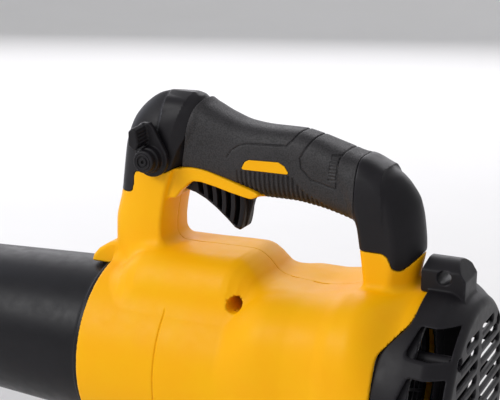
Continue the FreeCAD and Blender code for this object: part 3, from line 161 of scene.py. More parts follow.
def net(field, axes):
    """Four-sided faces round the zero surface of a field sampled on a grid."""
    sizes = [len(a) for a in axes]
    x, y, z = [a.reshape([-1 if i == j else 1 for j in range(3)]) for i, a in enumerate(axes)]
    grid = np.broadcast_to(field(x, y, z), sizes).astype(np.float32)
    inside = grid < 0
    filled = np.zeros([n - 1 for n in sizes], np.int8)
    for corner in np.ndindex(2, 2, 2):
        filled += inside[tuple(slice(c, n - 1 + c) for c, n in zip(corner, sizes))]
    mixed = (filled > 0) & (filled < 8)
    cells = np.argwhere(mixed)
    index = np.full(mixed.shape, -1, np.int64)
    index[mixed] = np.arange(len(cells))
    total = np.zeros((len(cells), 3))
    hits = np.zeros(len(cells))
    faces = []
    for along in range(3):
        u, v = (along + 1) % 3, (along + 2) % 3
        for du, dv in np.ndindex(2, 2):
            start = cells.copy()
            start[:, u] += du
            start[:, v] += dv
            end = start.copy()
            end[:, along] += 1
            a, b = grid[tuple(start.T)], grid[tuple(end.T)]
            crossed = (a < 0) != (b < 0)
            share = (a / np.where(crossed, a - b, 1))[crossed, None]
            first = np.stack([axes[i][start[crossed, i]] for i in range(3)], 1)
            last = np.stack([axes[i][end[crossed, i]] for i in range(3)], 1)
            total[crossed] += first + (last - first) * share
            hits[crossed] += 1
        near = [slice(None)] * 3
        far = [slice(None)] * 3
        near[along], far[along] = slice(None, -1), slice(1, None)
        edges = np.argwhere(inside[tuple(near)] != inside[tuple(far)])
        corners = []
        for du, dv in ((-1, -1), (0, -1), (0, 0), (-1, 0)):
            cell = edges.copy()
            cell[:, u] += du
            cell[:, v] += dv
            corners.append(index[tuple(cell.T)])
        quads = np.stack(corners, 1)
        leaving = inside[tuple(edges.T)]
        faces.append(np.where(leaving[:, None], quads, quads[:, ::-1]))
    return total / hits[:, None], np.concatenate(faces)


def slope_of(field, points, reach):
    """Gradient of a field at points."""
    columns = []
    for i in range(3):
        shift = np.zeros(3)
        shift[i] = reach
        columns.append((field(*(points + shift).T) - field(*(points - shift).T)) / (2 * reach))
    return np.stack(columns, 1)


def settle(field, points, reach):
    """Moves points onto the zero surface of a field and gives its normals there."""
    for _ in range(3):
        slope = slope_of(field, points, 0.03)
        size = np.maximum((slope ** 2).sum(1), 0.05)
        move = (-field(*points.T) / size)[:, None] * slope
        length = np.maximum(np.linalg.norm(move, axis=1), 1e-9)
        points = points + move * np.minimum(1, reach / length)[:, None]
    slope = slope_of(field, points, 0.12)
    return points, slope / np.maximum(np.linalg.norm(slope, axis=1), 1e-9)[:, None]


def mesh_object(name, points, faces, normals=None):
    """Object from points in the fan frame, in millimetres."""
    mesh = bpy.data.meshes.new(name)
    mesh.from_pydata((points / 1000 + ORIGIN).tolist(), [], faces.tolist())
    mesh.polygons.foreach_set("use_smooth", [True] * len(mesh.polygons))
    if normals is not None:
        mesh.normals_split_custom_set_from_vertices(normals.tolist())
    thing = bpy.data.objects.new(name, mesh)
    bpy.context.scene.collection.objects.link(thing)
    return thing


def field_piece(name, field, low, high, step, fine=((), (), ())):
    """Piece from the zero surface of a field inside a box of the fan frame."""
    axes = [axis(a, b, step, close) for a, b, close in zip(low, high, fine)]
    points, faces = net(field, axes)
    points, normals = settle(field, points, 0.6 * step * COARSE)
    return mesh_object(name, points, faces, normals)


def finish_piece(thing, body, slot, material, *nodes):
    """Rides a piece on its body in place of its CAD nodes, with its material."""
    thing.data.materials.append(material)
    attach(thing, body)
    if nodes:
        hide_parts(*nodes)
    return thing


# ---------------------------------------------------------------- shape of the housing and handle

BARREL = curve([(0, 67.5), (154, 67.5), (166, 68.7), (176, 70.6), (188, 74), (216, 77), (240, 77)])
BARREL_WALL, BARREL_REAR = 3.6, 232.6
SADDLE_SQUARENESS = 1.4
SADDLE_LIFT = 2.0       # how much higher the saddle's shoulders are than the barrel
MOUTH_RADIUS, MOUTH_DEPTH = 60.1, 9.0
HUMP_TOP, HUMP_HALF, HUMP_BEND = 84.1, 48.5, 65.0     # the flanks lean inward above the bend
HUMP_RISE = curve([
    (6, -0.5), (14, 0), (20, 0.4), (27, 0.69), (34, 0.85), (46, 0.93), (60, 0.94), (103, 1), (108, 0.955),
    (114, 0.765), (119, 0.485), (124, 0.14), (128, -0.05), (132, -0.15), (143, -0.3)])
FRONT_POST = [curve(column) for column in (
    [(62, -3), (94, -2), (115, 3), (135, 6), (150, 8.4), (160, 11.4), (168, 15), (175, 20.2), (182, 28),
     (186, 35), (188.5, 43)],
    [(62, 47), (94, 45), (115, 48), (135, 54), (150, 60), (160, 66), (168, 70), (175, 72.5), (182, 71.5),
     (186, 69.5), (188.5, 66)],
    [(62, 20), (115, 20), (135, 20.7), (150, 20.9), (160, 20), (168, 18.4), (175, 15.8), (182, 11.5),
     (186, 8), (188.5, 5.5)])]
HANDLE_TOP = 188.4
REAR_POST = [curve(column) for column in (
    [(62, 192), (82, 189.5), (100, 187), (117, 184), (130, 180), (138, 177), (145, 173), (151, 168)],
    [(62, 222), (82, 222.5), (100, 225), (117, 223.3), (130, 220.2), (138, 215.5), (145, 209.5),
     (151, 201)],
    [(62, 24), (117, 24), (130, 23), (138, 21.5), (145, 19), (151, 15)])]
GRIP_LOW = curve([
    (46, 134), (70, 131.5), (86, 130), (101, 127), (116, 123), (136, 123), (156, 121), (172, 117.8),
    (186, 113.5), (197, 109)])
BAND = [(44, 116), (52.5, 117), (54.5, 119.5), (57, 122.6), (59.8, 125), (62.6, 128), (66.5, 130.2),
        (72, 130.3), (83, 128.2), (94, 125.5), (105.5, 123.2), (109.5, 122.6), (113.5, 124.2), (118, 128),
        (103, 137), (88, 142), (66, 146), (44, 146)]
BAND_HALF = 16.6
GRIP_TOP = curve([
    (44, 186.5), (60, 186), (70, 183.7), (86, 176.5), (101, 171.7), (116, 170.2), (138, 169.9),
    (149, 167.8), (167.5, 162.2), (180, 158.4), (186, 157.6), (197, 153)])
GRIP_HALF = curve([
    (46, 18.4), (70, 18.6), (86, 18.3), (101, 17.9), (136, 17.6), (156, 18.6), (172, 20.4), (186, 21),
    (197, 21)])
GRIP_POWER = 3.2
COLLAR = curve([
    (135, 57), (140, 58), (150, 60.5), (158, 62.3), (169, 64), (179, 67), (184.5, 70), (192, 75)])
BLACK_LINE = curve([
    (-12, 115.3), (14, 117), (18.5, 118.5), (20.6, 124), (21.3, 130), (23.5, 133), (35, 133.8),
    (46.6, 135), (52, 137.5), (58, 139), (66, 139.8), (73, 139.3), (88, 135.6), (103, 131),
    (112, 128.3), (116, 126), (118, 120), (119, 106), (184, 100.5), (203, 100.5), (207.5, 98.5),
    (209.5, 95), (211, 91.4), (214.5, 89.4), (220, 93), (226, 99.5)])
BOOT_FRONT = 184.0
SPLIT = curve([
    (-90, 216.5), (45, 216.5), (48, 216.9), (50, 217.8), (52.5, 219.8), (60, 226.7), (63, 229.4),
    (66, 231.2), (69, 231.9), (72, 232), (110, 232)])
SPLIT_LOW = -70.0


def saddle_share(x):
    """How far the barrel's round top has turned into the flat shoulders of the saddle."""
    return ramp(104, 140, x) * ramp(226, 196, x)


def barrel(x, y, z, inset=0.0):
    """Round body; its top is squarer and slightly hollow where the saddle is."""
    share = saddle_share(x)
    power = 2 + SADDLE_SQUARENESS * share * ramp(0, 12, z)
    reach = (np.abs(y) ** power + np.abs(z) ** power) ** (1 / power)
    trough = 3.2 * share * np.exp(-(y / 22) ** 2) * ramp(20, 50, z)
    return meet(reach - BARREL(x) - SADDLE_LIFT * share + trough + inset, x - BARREL_REAR)


def hump(x, y, z):
    """Raised deck whose rear slope and flanks end on the barrel."""
    across = np.abs(y)
    share = saddle_share(x)
    power = 2 + SADDLE_SQUARENESS * share
    top = 67.5 + 1.5 * share
    base = np.maximum(top ** power - across ** power, 30.0 ** power) ** (1 / power)
    rise = HUMP_TOP - 0.002 * across ** 2 - base
    swept = x + 0.0022 * across ** 2 * ramp(60, 95, x)
    tilt = rise * (HUMP_RISE(swept + 0.05) - HUMP_RISE(swept - 0.05)) / 0.1
    lid = (z - base - rise * HUMP_RISE(swept)) / np.sqrt(1 + tilt ** 2)
    flank = meet(across - HUMP_HALF, 0.94 * (across - HUMP_HALF) + 0.34 * (z - HUMP_BEND), 16)
    return meet(meet(lid, flank, 20), 30 - z)


def bowed_post(x, y, z, table, nose, heel, front_corner, rear_corner):
    """Post with flat sides, a bowed front (nose) and a bowed back (heel)."""
    front, rear, half = [column(z) for column in table]
    share = y / half
    ahead = (front + nose * share ** 2 - x) / np.sqrt(1 + (2 * nose * share / half) ** 2)
    behind = (x - rear + heel * share ** 2) / np.sqrt(1 + (2 * heel * share / half) ** 2)
    side = np.abs(y) - half
    return meet(meet(meet(ahead, side, front_corner), behind, rear_corner), 50 - z)


def front_post(x, y, z):
    post = bowed_post(x, y, z, FRONT_POST, 15, 3, 9, 2.2)
    return meet(post, z - HANDLE_TOP + 0.012 * y ** 2, 2)


def rear_post(x, y, z):
    post = bowed_post(x, y, z, REAR_POST, 2, 13, 4, 1.6)
    return meet(post, z - 151, 5)


def grip(x, y, z):
    """Bar between the posts, a superellipse in section."""
    low, top, half = GRIP_LOW(x), GRIP_TOP(x), GRIP_HALF(x)
    tall = (top - low) / 2
    across = np.abs(y / half) ** GRIP_POWER
    upright = np.abs((z - (top + low) / 2) / tall) ** GRIP_POWER
    section = ((across + upright) ** (1 / GRIP_POWER) - 1) * np.minimum(half, tall)
    return np.maximum(section, slab(44, 200, x))


def handle(x, y, z):
    return join(join(front_post(x, y, z), grip(x, y, z), 4), rear_post(x, y, z), 5)


def black(x, z):
    """Negative where the handle is black: above the line that parts it from the yellow housing."""
    return above(BLACK_LINE, x, z)


def foot(x, y, z):
    """Front foot, a box that tapers downward."""
    side = polygon(x, z, [(6, -45), (58, -45), (50, -120), (10, -120)])
    return meet(side, np.abs(y) - 32, 5)


def pedestal(x, y, z):
    """Block under the barrel's rear, for the battery."""
    side = polygon(x, z, [(92, -45), (246, -45), (246, -77), (112, -77)])
    return meet(side, np.abs(y) - 42, 4)


def key_guide(x, y, z):
    """Small hood over the keyway of the tube's collar."""
    side = polygon(x, z, [(-17, 63.5), (-13, 68), (-5, 73), (6, 76), (6, 60.4), (-18, 60.4)]) - 3
    return meet(meet(side, np.abs(y) - 11, 3), 60.4 - z, 0.6)


def intake_region(x, z):
    """Negative behind the stepped line where the cage starts."""
    return meet(SPLIT(z) - x, SPLIT_LOW - z)


def trigger_slot(x, y, z):
    side = polygon(x, z, [(53, 108), (53, 131), (58, 140), (112.5, 140), (112.5, 108)]) - 1.5
    return meet(side, np.abs(y) - 9.8)


def housing_body(x, y, z):
    """Both halves of the yellow housing as one solid with its openings."""
    skin = join(barrel(x, y, z), hump(x, y, z), 6)
    skin = join(skin, foot(x, y, z), 7)
    skin = join(skin, pedestal(x, y, z), 5)
    skin = meet(skin, -x, 1.2)
    skin = join(skin, front_post(x, y, z), 8)
    skin = join(skin, rear_post(x, y, z), 5)
    skin = join(skin, grip(x, y, z), 4)
    skin = join(skin, meet(polygon(x, z, BAND), np.abs(y) - BAND_HALF, 1.2), 2)
    skin = join(skin, key_guide(x, y, z), 1.5)
    skin = groove(skin, x - 61, 0.5, 0.7 * ramp(50, 47, z) * ramp(30, 40, np.abs(y)))
    skin = meet(skin, 0.1 - black(x, z), 0.5)
    radius = np.hypot(y, z)
    mouth = meet(radius - MOUTH_RADIUS, x - MOUTH_DEPTH - 0.5)
    bore = meet(barrel(x, y, z, BARREL_WALL), MOUTH_DEPTH - x)
    skin = cut(cut(skin, mouth, 0.8), bore)
    skin = cut(skin, intake_region(x, z), 0.6)
    skin = cut(skin, trigger_slot(x, y, z), 0.8)
    skin = cut(skin, block(x, y, z, (114, -29.2, -95), (300, 29.2, -62)), 0.5)
    skin = cut(skin, block(x, y, z, (-5, -7.6, -91), (14, 7.6, -73.6), 1), 0.6)
    return cut(skin, block(x, y, z, (3.5, -6.5, -103), (23, 6.5, -56)))


SCREW_POINTS = [(110.5, 57.8), (29, -96), (103.5, -64.5), (60, -63)]
RECESS_RADIUS, RECESS_END = 5.2, -16.6


def left_half(x, y, z):
    """Left shell, with the recesses of its screws; the upper one has a boss behind it."""
    body = meet(housing_body(x, y, z), y + 0.1, 0.4)
    for screw_x, screw_z in SCREW_POINTS:
        reach = np.hypot(x - screw_x, z - screw_z)
        if screw_z > 0:
            body = join(body, meet(reach - 7.6, slab(-38, -11, y)))
        body = cut(body, meet(reach - RECESS_RADIUS, y - RECESS_END), 0.5)
    return body


def right_half(x, y, z):
    return meet(housing_body(x, y, z), 0.1 - y, 0.4)


def make_housing(paint):
    fine_x = ((61, 1.6, 0.4), (226, 9, 0.8))
    fine_z = ((114, 28, 0.9),)
    for name, field, low_y, high_y in (("housing_left", left_half, -80.2, 0.9),
                                       ("housing_right", right_half, -0.9, 80.2)):
        shell = field_piece(name + "_shell", field, (-29, low_y, -122), (249, high_y, 146), 1.5,
                            (fine_x, ((0, 1.6, 0.4),), fine_z))
        finish_piece(shell, "blower_body", "yellow_plastic", paint, name)


# ---------------------------------------------------------------- black parts of the handle

HOOD_BEVEL = curve([
    (115, 47.5), (140, 48.5), (151, 50), (161, 52.5), (174.5, 56.5), (184, 59.5), (189, 60.5)])


def hood(x, y, z):
    """Black cap of the front post, with a bevel along its rear edge."""
    bevel = 0.40 * np.clip(x - HOOD_BEVEL(z), 0, 14)
    body = meet(handle(x, y, z) + bevel, black(x, z) + 0.1, 0.6)
    body = meet(body, (x - COLLAR(z) + 0.1) * 0.92, 0.5)
    body = meet(body, z - HANDLE_TOP, 0.5)
    return cut(body, trigger_slot(x, y, z))


BADGE = [(104.8, 143.8), (106.6, 147.2), (109, 148.5), (129.6, 149), (133.4, 147), (135.6, 143.8)]
SWEEP = [(93, 150), (96, 154.6), (101, 158), (107, 160), (135, 161), (139, 165.5), (144, 174)]
PANEL = [
    (156, 174), (148, 160), (145, 154), (146, 148), (153.6, 141), (171, 137.6), (171.7, 156), (176, 170)]
STRIP = [(166, 143), (170.2, 142), (171.4, 158), (167, 158)]
RIB_TOP = curve([
    (96, 142), (138, 142), (143, 137), (150, 131), (158, 127.5), (166, 124), (176, 120), (186, 116)])
RIB_PITCH = 3.35


def badge_region(x, z):
    return polygon(x, z, BADGE) - 1.2


def rubber(x, y, z):
    """Grip with its engraved lines, finger ribs and the seat of the inlays."""
    body = handle(x, y, z)
    body = groove(body, line(x, z, SWEEP), 0.5, 0.7)
    body = groove(body, line(x, z, PANEL), 0.5, 0.8)
    below = ramp(1.0, -1.0, z - RIB_TOP(x)) * ramp(98, 101, x) * ramp(183, 179, x)
    body = body + below * 1.1 * (0.5 + 0.5 * np.cos(2 * math.pi * (x - 100) / RIB_PITCH)) ** 2
    strip = polygon(x, z, STRIP) - 0.6
    body = body + (0.35 + 0.2 * np.cos(2 * math.pi * z / 2.2)) * ramp(0.2, -0.2, strip)
    body = body + 0.9 * ramp(0.25, -0.25, badge_region(x, z)) * ramp(8, 10, np.abs(y))
    body = meet(body, black(x, z) + 0.1, 0.6)
    body = meet(body, (COLLAR(z) - x + 0.1) * 0.92, 0.5)
    body = meet(body, x - BOOT_FRONT + 0.1, 0.6)
    return cut(body, trigger_slot(x, y, z))


def boot(x, y, z):
    """Black sleeve over the rear post."""
    body = meet(handle(x, y, z) - 0.15, black(x, z) + 0.15, 0.8)
    return meet(body, BOOT_FRONT - x + 0.1, 0.8)


def badge(side):
    """Field of the yellow inlay on one side of the grip."""
    def field(x, y, z):
        plate = meet(handle(x, y, z) - 0.1, badge_region(x, z) + 0.15, 0.3)
        plate = meet(plate, -1.6 - handle(x, y, z))
        return np.maximum(plate, 5 - side * y)
    return field


def make_handle_trim(hard, rubbery, paint):
    piece = field_piece("handle_hood_shell", hood, (-14, -23, 112), (78, 23, 191), 0.8)
    finish_piece(piece, "blower_body", "black_plastic", hard, "handle_hood")
    piece = field_piece("grip_rubber", rubber, (49, -25.5, 103), (187, 25.5, 191), 0.62)
    finish_piece(piece, "blower_body", "grip_rubber", rubbery, "grip_overmold")
    piece = field_piece("rear_boot_shell", boot, (181, -26, 86), (228, 26, 163), 0.85)
    finish_piece(piece, "blower_body", "black_plastic", hard, "rear_boot")
    for name, side in (("left", -1), ("right", 1)):
        low_y, high_y = sorted((side * 12, side * 21))
        piece = field_piece("inlay_" + name, badge(side), (102, low_y, 141), (139, high_y, 152), 0.4)
        finish_piece(piece, "blower_body", "yellow_plastic", paint, "grip_badge_" + name)


# ---------------------------------------------------------------- trigger and lever

TRIGGER_SIDE = [
    (54.5, 122.3), (63.9, 120), (71.6, 116.4), (79.2, 111.3), (86.7, 105.2), (93.5, 99.1), (97.3, 97.6),
    (100, 100), (102.8, 109.7), (104.8, 117), (106, 121.5), (103, 126.5), (90, 129.5), (64, 131.5),
    (57, 131.5), (54.3, 127.5)]
TRIGGER_LIP = curve([(50, 125.5), (63.9, 122.6), (71.6, 119), (79.2, 113.9), (86.7, 107.8), (93.5, 102),
                     (99, 99.5), (110, 99.5)])


def trigger(x, y, z):
    """Trigger with curved gaps between its fins and a solid lip along its front."""
    half = 8.9 - 0.04 * np.maximum(x - 95, 0) ** 2
    body = meet(polygon(x, z, TRIGGER_SIDE) + 0.15, np.abs(y) - half, 2)
    bend = 0.010 * (z - 116) ** 2
    for i in range(6):
        gap = meet(np.abs(x + bend - 69 - 6.8 * i) - 1.75, above(TRIGGER_LIP, x, z))
        gap = meet(meet(gap, z - 130.5), 2.2 - np.abs(y), 0.3)
        body = cut(body, gap, 0.5)
    return body


TAB = [(-9.1, 11), (-9.1, 18.6), (-8, 19.6), (-6.6, 19), (-5.4, 11.6), (-6.6, 9)]


def lever(x, y, z):
    """Lever with a stepped hub and a serrated tab that leans forward."""
    u, v = x - LEVER_X, z - LEVER_Z
    radius = np.hypot(u, v)
    arm = polygon(u, v, [(-10.6, 1), (-10.4, 15), (-7, 22), (-1.6, 23), (0.8, 20.4), (10.2, 4)]) - 1.7
    plate = meet(np.minimum(radius - 12.4, arm), slab(-26.6, -22.6, y), 1.1)
    post = meet(radius - 7.5, slab(-37, -24, y), 1.0)
    post = join(post, meet(radius - 8.8, slab(-32, -24, y), 0.8), 0.5)
    lean = 3.2 * (y + 37) / 15.4
    tab_u, tab_v = u - lean, v - lean
    serration = 0.55 * (1 - np.abs((tab_v - 0.35 * tab_u) / 1.25 % 2 - 1)) * ramp(-6.5, -4.5, tab_u)
    tab = polygon(tab_u, tab_v, TAB) - 1.9
    tab = meet(tab + serration * ramp(-36, -35, y), slab(-37, -23, y), 1.2)
    body = join(join(plate, post, 1.2), tab, 1.2)
    return cut(body, meet(radius - 5.6, y + 35.4), 0.25)


def lever_cap(x, y, z):
    """Cap of the lever's hub, with a ring groove and a dimple."""
    radius = np.hypot(x - LEVER_X, z - LEVER_Z)
    face = meet(radius - 5.5, slab(-37.3, -35.4, y), 0.5)
    face = cut(face, meet(np.abs(radius - 3.5) - 0.65, y + 36.4), 0.3)
    return cut(face, meet(radius - 1.2, y + 36), 0.3)


def make_controls(hard):
    piece = field_piece("trigger_fins", trigger, (52, -10, 96), (112, 10, 133.5), 0.6)
    finish_piece(piece, "trigger", "black_plastic", hard, "trigger")
    piece = field_piece("lever_shell", lever, (26, -38, 131), (54, -21.5, 173), 0.42)
    finish_piece(piece, "speed_lever", "black_plastic", hard, "speed_lock_lever")
    piece = field_piece("lever_rings", lever_cap, (33.5, -38, 138.5), (46.5, -34.8, 151.5), 0.28)
    finish_piece(piece, "speed_lever", "black_plastic", hard, "lever_cap")


# ---------------------------------------------------------------- intake cage

CAGE = curve([(213, 77.3), (217, 77.6), (235, 79.4), (246, 79.4), (259, 72), (264, 68)])
CAGE_REAR = 263.9
CAGE_SCREWS = 44.5
LUG_SIDE = [(231, 72), (229, 78), (229, 89), (231, 97), (246.5, 97), (254, 85), (254, 72)]
EYE_X, EYE_Z = 242, 87
WINDOW_CENTRES = (-44, -19, 7, 32, 57)


def cage_lug(x, y, z):
    """Crowned block behind the rear post, with a hole across it."""
    side = polygon(x, z, LUG_SIDE) - 2
    body = meet(side, z - 97 + 0.033 * y ** 2, 0.8)
    body = meet(body, np.abs(y) - 13.5, 1.0)
    eye = meet(np.hypot(x - EYE_X, z - EYE_Z) - 4.5, np.abs(y) - 30)
    return cut(body, eye, 0.9)


def cage(x, y, z):
    """Open shell with side windows, rear slots and screw columns, and a dark ring and sleeve inside it, put there
    as painted shade behind the windows.
    """
    radius = np.hypot(y, z)
    outer = meet(radius - CAGE(x), x - CAGE_REAR, 3)
    shell = cut(outer, meet(radius - CAGE(x) + 3, x - CAGE_REAR + 3))
    for centre in WINDOW_CENTRES:
        side = polygon(x, z, [(236.5, centre - 4.4), (262, centre - 6.4), (262, centre + 4.4),
                              (240, centre + 5.4)]) - 2.6
        shell = cut(shell, meet(meet(side, 20 - np.abs(y)), x - 259.5, 1), 1.3)
    for i in range(-5, 6):
        reach = math.sqrt(60 ** 2 - (10 * i) ** 2) - 2
        slot = meet(np.abs(z - 10 * i) - 3, slab(4, reach, np.abs(y)), 2.5)
        shell = cut(shell, meet(slot, 256 - x), 0.8)
    # Painted shade: a black ring just inside the windows, so that they look dark inside.
    ring = meet(np.abs(radius - 73) - 2, slab(232.6, 239, x))
    shell = np.minimum(shell, ring)
    column = np.hypot(np.abs(y) - CAGE_SCREWS, np.abs(z) - CAGE_SCREWS)
    shell = join(shell, meet(column - 4.6, slab(228.2, CAGE_REAR - 0.5, x)), 1)
    shell = cut(shell, meet(column - 4.1, CAGE_REAR - 5 - x), 0.4)
    shell = meet(shell, intake_region(x, z) + 0.4, 0.6)
    # Painted shade: a black sleeve lining the housing's bore, which hides its yellow inner wall seen through the
    # windows.
    shell = np.minimum(shell, meet(np.abs(radius - 72.1) - 1.1, slab(217.5, 239, x)))
    shell = np.minimum(shell, meet(np.abs(radius - 64.6) - 8.6, slab(217.5, 219.6, x)))
    seat = meet(radius - 77.6, x - 232.4)
    shell = join(shell, cut(cage_lug(x, y, z), seat), 1.5)
    bay = np.minimum(block(x, y, z, (180, -43, -130), (300, 43, -69.7)),
                     block(x, y, z, (180, -30, -130), (300, 30, -61.5)))
    return cut(shell, bay, 0.5)


def make_cage(cage_paint):
    piece = field_piece("intake_cage", cage, (215, -81, -81), (265.5, 81, 103), 1.0)
    finish_piece(piece, "blower_body", "black_plastic", cage_paint, "intake_cover")


# ---------------------------------------------------------------- blow tube and nozzle

def lathe(name, profile, turns=144, dent=None):
    """Closed ring turned round the fan axis from an (x, radius) loop; dent may change radii round it."""
    loop = np.array(profile, float)
    angles = np.linspace(0, 2 * math.pi, turns, endpoint=False)
    x = np.repeat(loop[:, :1], turns, 1)
    radius = np.repeat(loop[:, 1:], turns, 1)
    if dent:
        radius = dent(x, radius, angles[None, :])
    points = np.stack([x, radius * np.sin(angles), radius * np.cos(angles)], 2).reshape(-1, 3)
    row = np.arange(len(loop))[:, None] * turns
    after = np.roll(np.arange(len(loop)), -1)[:, None] * turns
    around = np.arange(turns)[None, :]
    beside = (around + 1) % turns
    faces = np.stack([row + around, after + around, after + beside, row + beside], 2).reshape(-1, 4)
    return mesh_object(name, points, faces)


def softened(points, radius=0.5, steps=3):
    """Closed profile with each corner replaced by a short arc."""
    result = []
    corners = [np.array(point, float) for point in points]
    for before, corner, after in zip(corners[-1:] + corners[:-1], corners, corners[1:] + corners[:1]):
        back, on = before - corner, after - corner
        reach_back, reach_on = np.linalg.norm(back), np.linalg.norm(on)
        cut_back = corner + back * min(radius / reach_back, 0.4)
        cut_on = corner + on * min(radius / reach_on, 0.4)
        for i in range(steps + 1):
            t = i / steps
            result.append((1 - t) ** 2 * cut_back + 2 * t * (1 - t) * corner + t * t * cut_on)
    return result


def divided(points, longest=12.0):
    """Profile with its long runs divided, so that the wear on its edges has points to follow."""
    result = []
    for start, end in zip(points, points[1:] + points[:1]):
        count = max(1, int(math.ceil(np.linalg.norm(np.array(end) - start) / longest)))
        result += [start + (np.array(end) - start) * i / count for i in range(count)]
    return result


def keyway(x, radius, angle):
    """Flat on the tube's collar under the housing's key guide."""
    across = np.abs(radius * np.sin(angle))
    under = (across < 12.4) & (np.cos(angle) > 0) & (x > -6.5) & (x < -0.3) & (radius > 59.8)
    return np.where(under, 59.8, radius)


def make_tube(shiny):
    wall = 2.4
    profile = [(-330, 44 - wall), (-6, 58.9 - wall), (-0.5, 59.8 - wall), (26, 59.8 - wall), (26, 59.8),
               (-0.5, 59.8), (-0.5, 64), (-4.6, 64), (-6.4, 59.6), (-9, 59.1), (-290, 45.85), (-330, 44)]
    tube = lathe("blow_tube_shell", divided(softened(profile, 0.9)), 180, keyway)
    finish_piece(tube, "blow_tube", "tube_plastic", shiny, "blow_tube")


def make_nozzle(shiny):
    profile = [(-296, 46.0), (-330, 44.4), (-330.5, 41.6), (-342, 41.1), (-618, 34.8), (-618, 37),
               (-586, 37), (-342, 45.5), (-326, 46.85), (-302, 47.7), (-301, 48.2), (-296.4, 48.2)]
    nozzle = lathe("nozzle_shell", divided(softened(profile, 0.9)), 180)
    finish_piece(nozzle, "nozzle", "tube_plastic", shiny, "nozzle_tip")


# ---------------------------------------------------------------- battery pack

def pack_lower(x, y, z):
    """Lower case of the battery pack, fluted at its sides, with the hole of its gauge button."""
    body = block(x, y, z, (120, -38.5, -124), (248, 38.5, -96.1), 5)
    body = meet(body, z + 96.1, 0.5)
    for i in range(7):
        flute = meet(np.abs(x - 148 - 12 * i) - 3.2, slab(-116, -103, z), 2)
        body = body + 0.9 * ramp(0.6, -0.6, flute) * ramp(34, 37, np.abs(y))
    gauge = meet(np.hypot(y + 18, z + 106) - 4.4, 245 - x)
    return cut(body, gauge, 0.4)


def pack_upper(x, y, z):
    """Upper case of the pack: tongue, contact slots and the release button's pocket."""
    body = block(x, y, z, (120, -38.5, -110), (248, 38.5, -78), 5)
    body = meet(body, -95.9 - z, 0.5)
    body = groove(body, z + 92.5, 0.6, 0.5)
    neck = meet(slab(131, 236, x), meet(slab(-90, -66.3, z), np.abs(y) - 21, 0.6), 0.6)
    tongue = meet(slab(131, 236, x), meet(slab(-72.8, -66.3, z), np.abs(y) - 24, 0.6), 0.6)
    body = join(body, np.minimum(neck, tongue), 0.8)
    for side_y in (-15, -5, 5, 15):
        body = cut(body, block(x, y, z, (126, side_y - 1.1, -73.2), (144, side_y + 1.1, -60)), 0.2)
    body = cut(body, block(x, y, z, (213.5, -10.5, -84.3), (238, 10.5, -60)), 0.4)
    return cut(body, block(x, y, z, (235, -14, -83), (252, 14, -70), 1), 0.5)


def make_pack(pack_paint):
    lower = field_piece("pack_lower_shell", pack_lower, (118.5, -40, -125.5), (249.5, 40, -95), 1.0)
    finish_piece(lower, "battery_pack", "black_plastic", pack_paint, "battery_case_lower")
    upper = field_piece("pack_upper_shell", pack_upper, (118.5, -40, -97.5), (249.5, 40, -65), 1.0)
    finish_piece(upper, "battery_pack", "black_plastic", pack_paint, "battery_case_upper")


# ---------------------------------------------------------------- materials

def linear(*colour):
    """Screen colour from 0 to 255 as a shader colour."""
    parts = [c / 255 for c in colour]
    return [c / 12.92 if c <= 0.04045 else ((c + 0.055) / 1.055) ** 2.4 for c in parts] + [1.0]


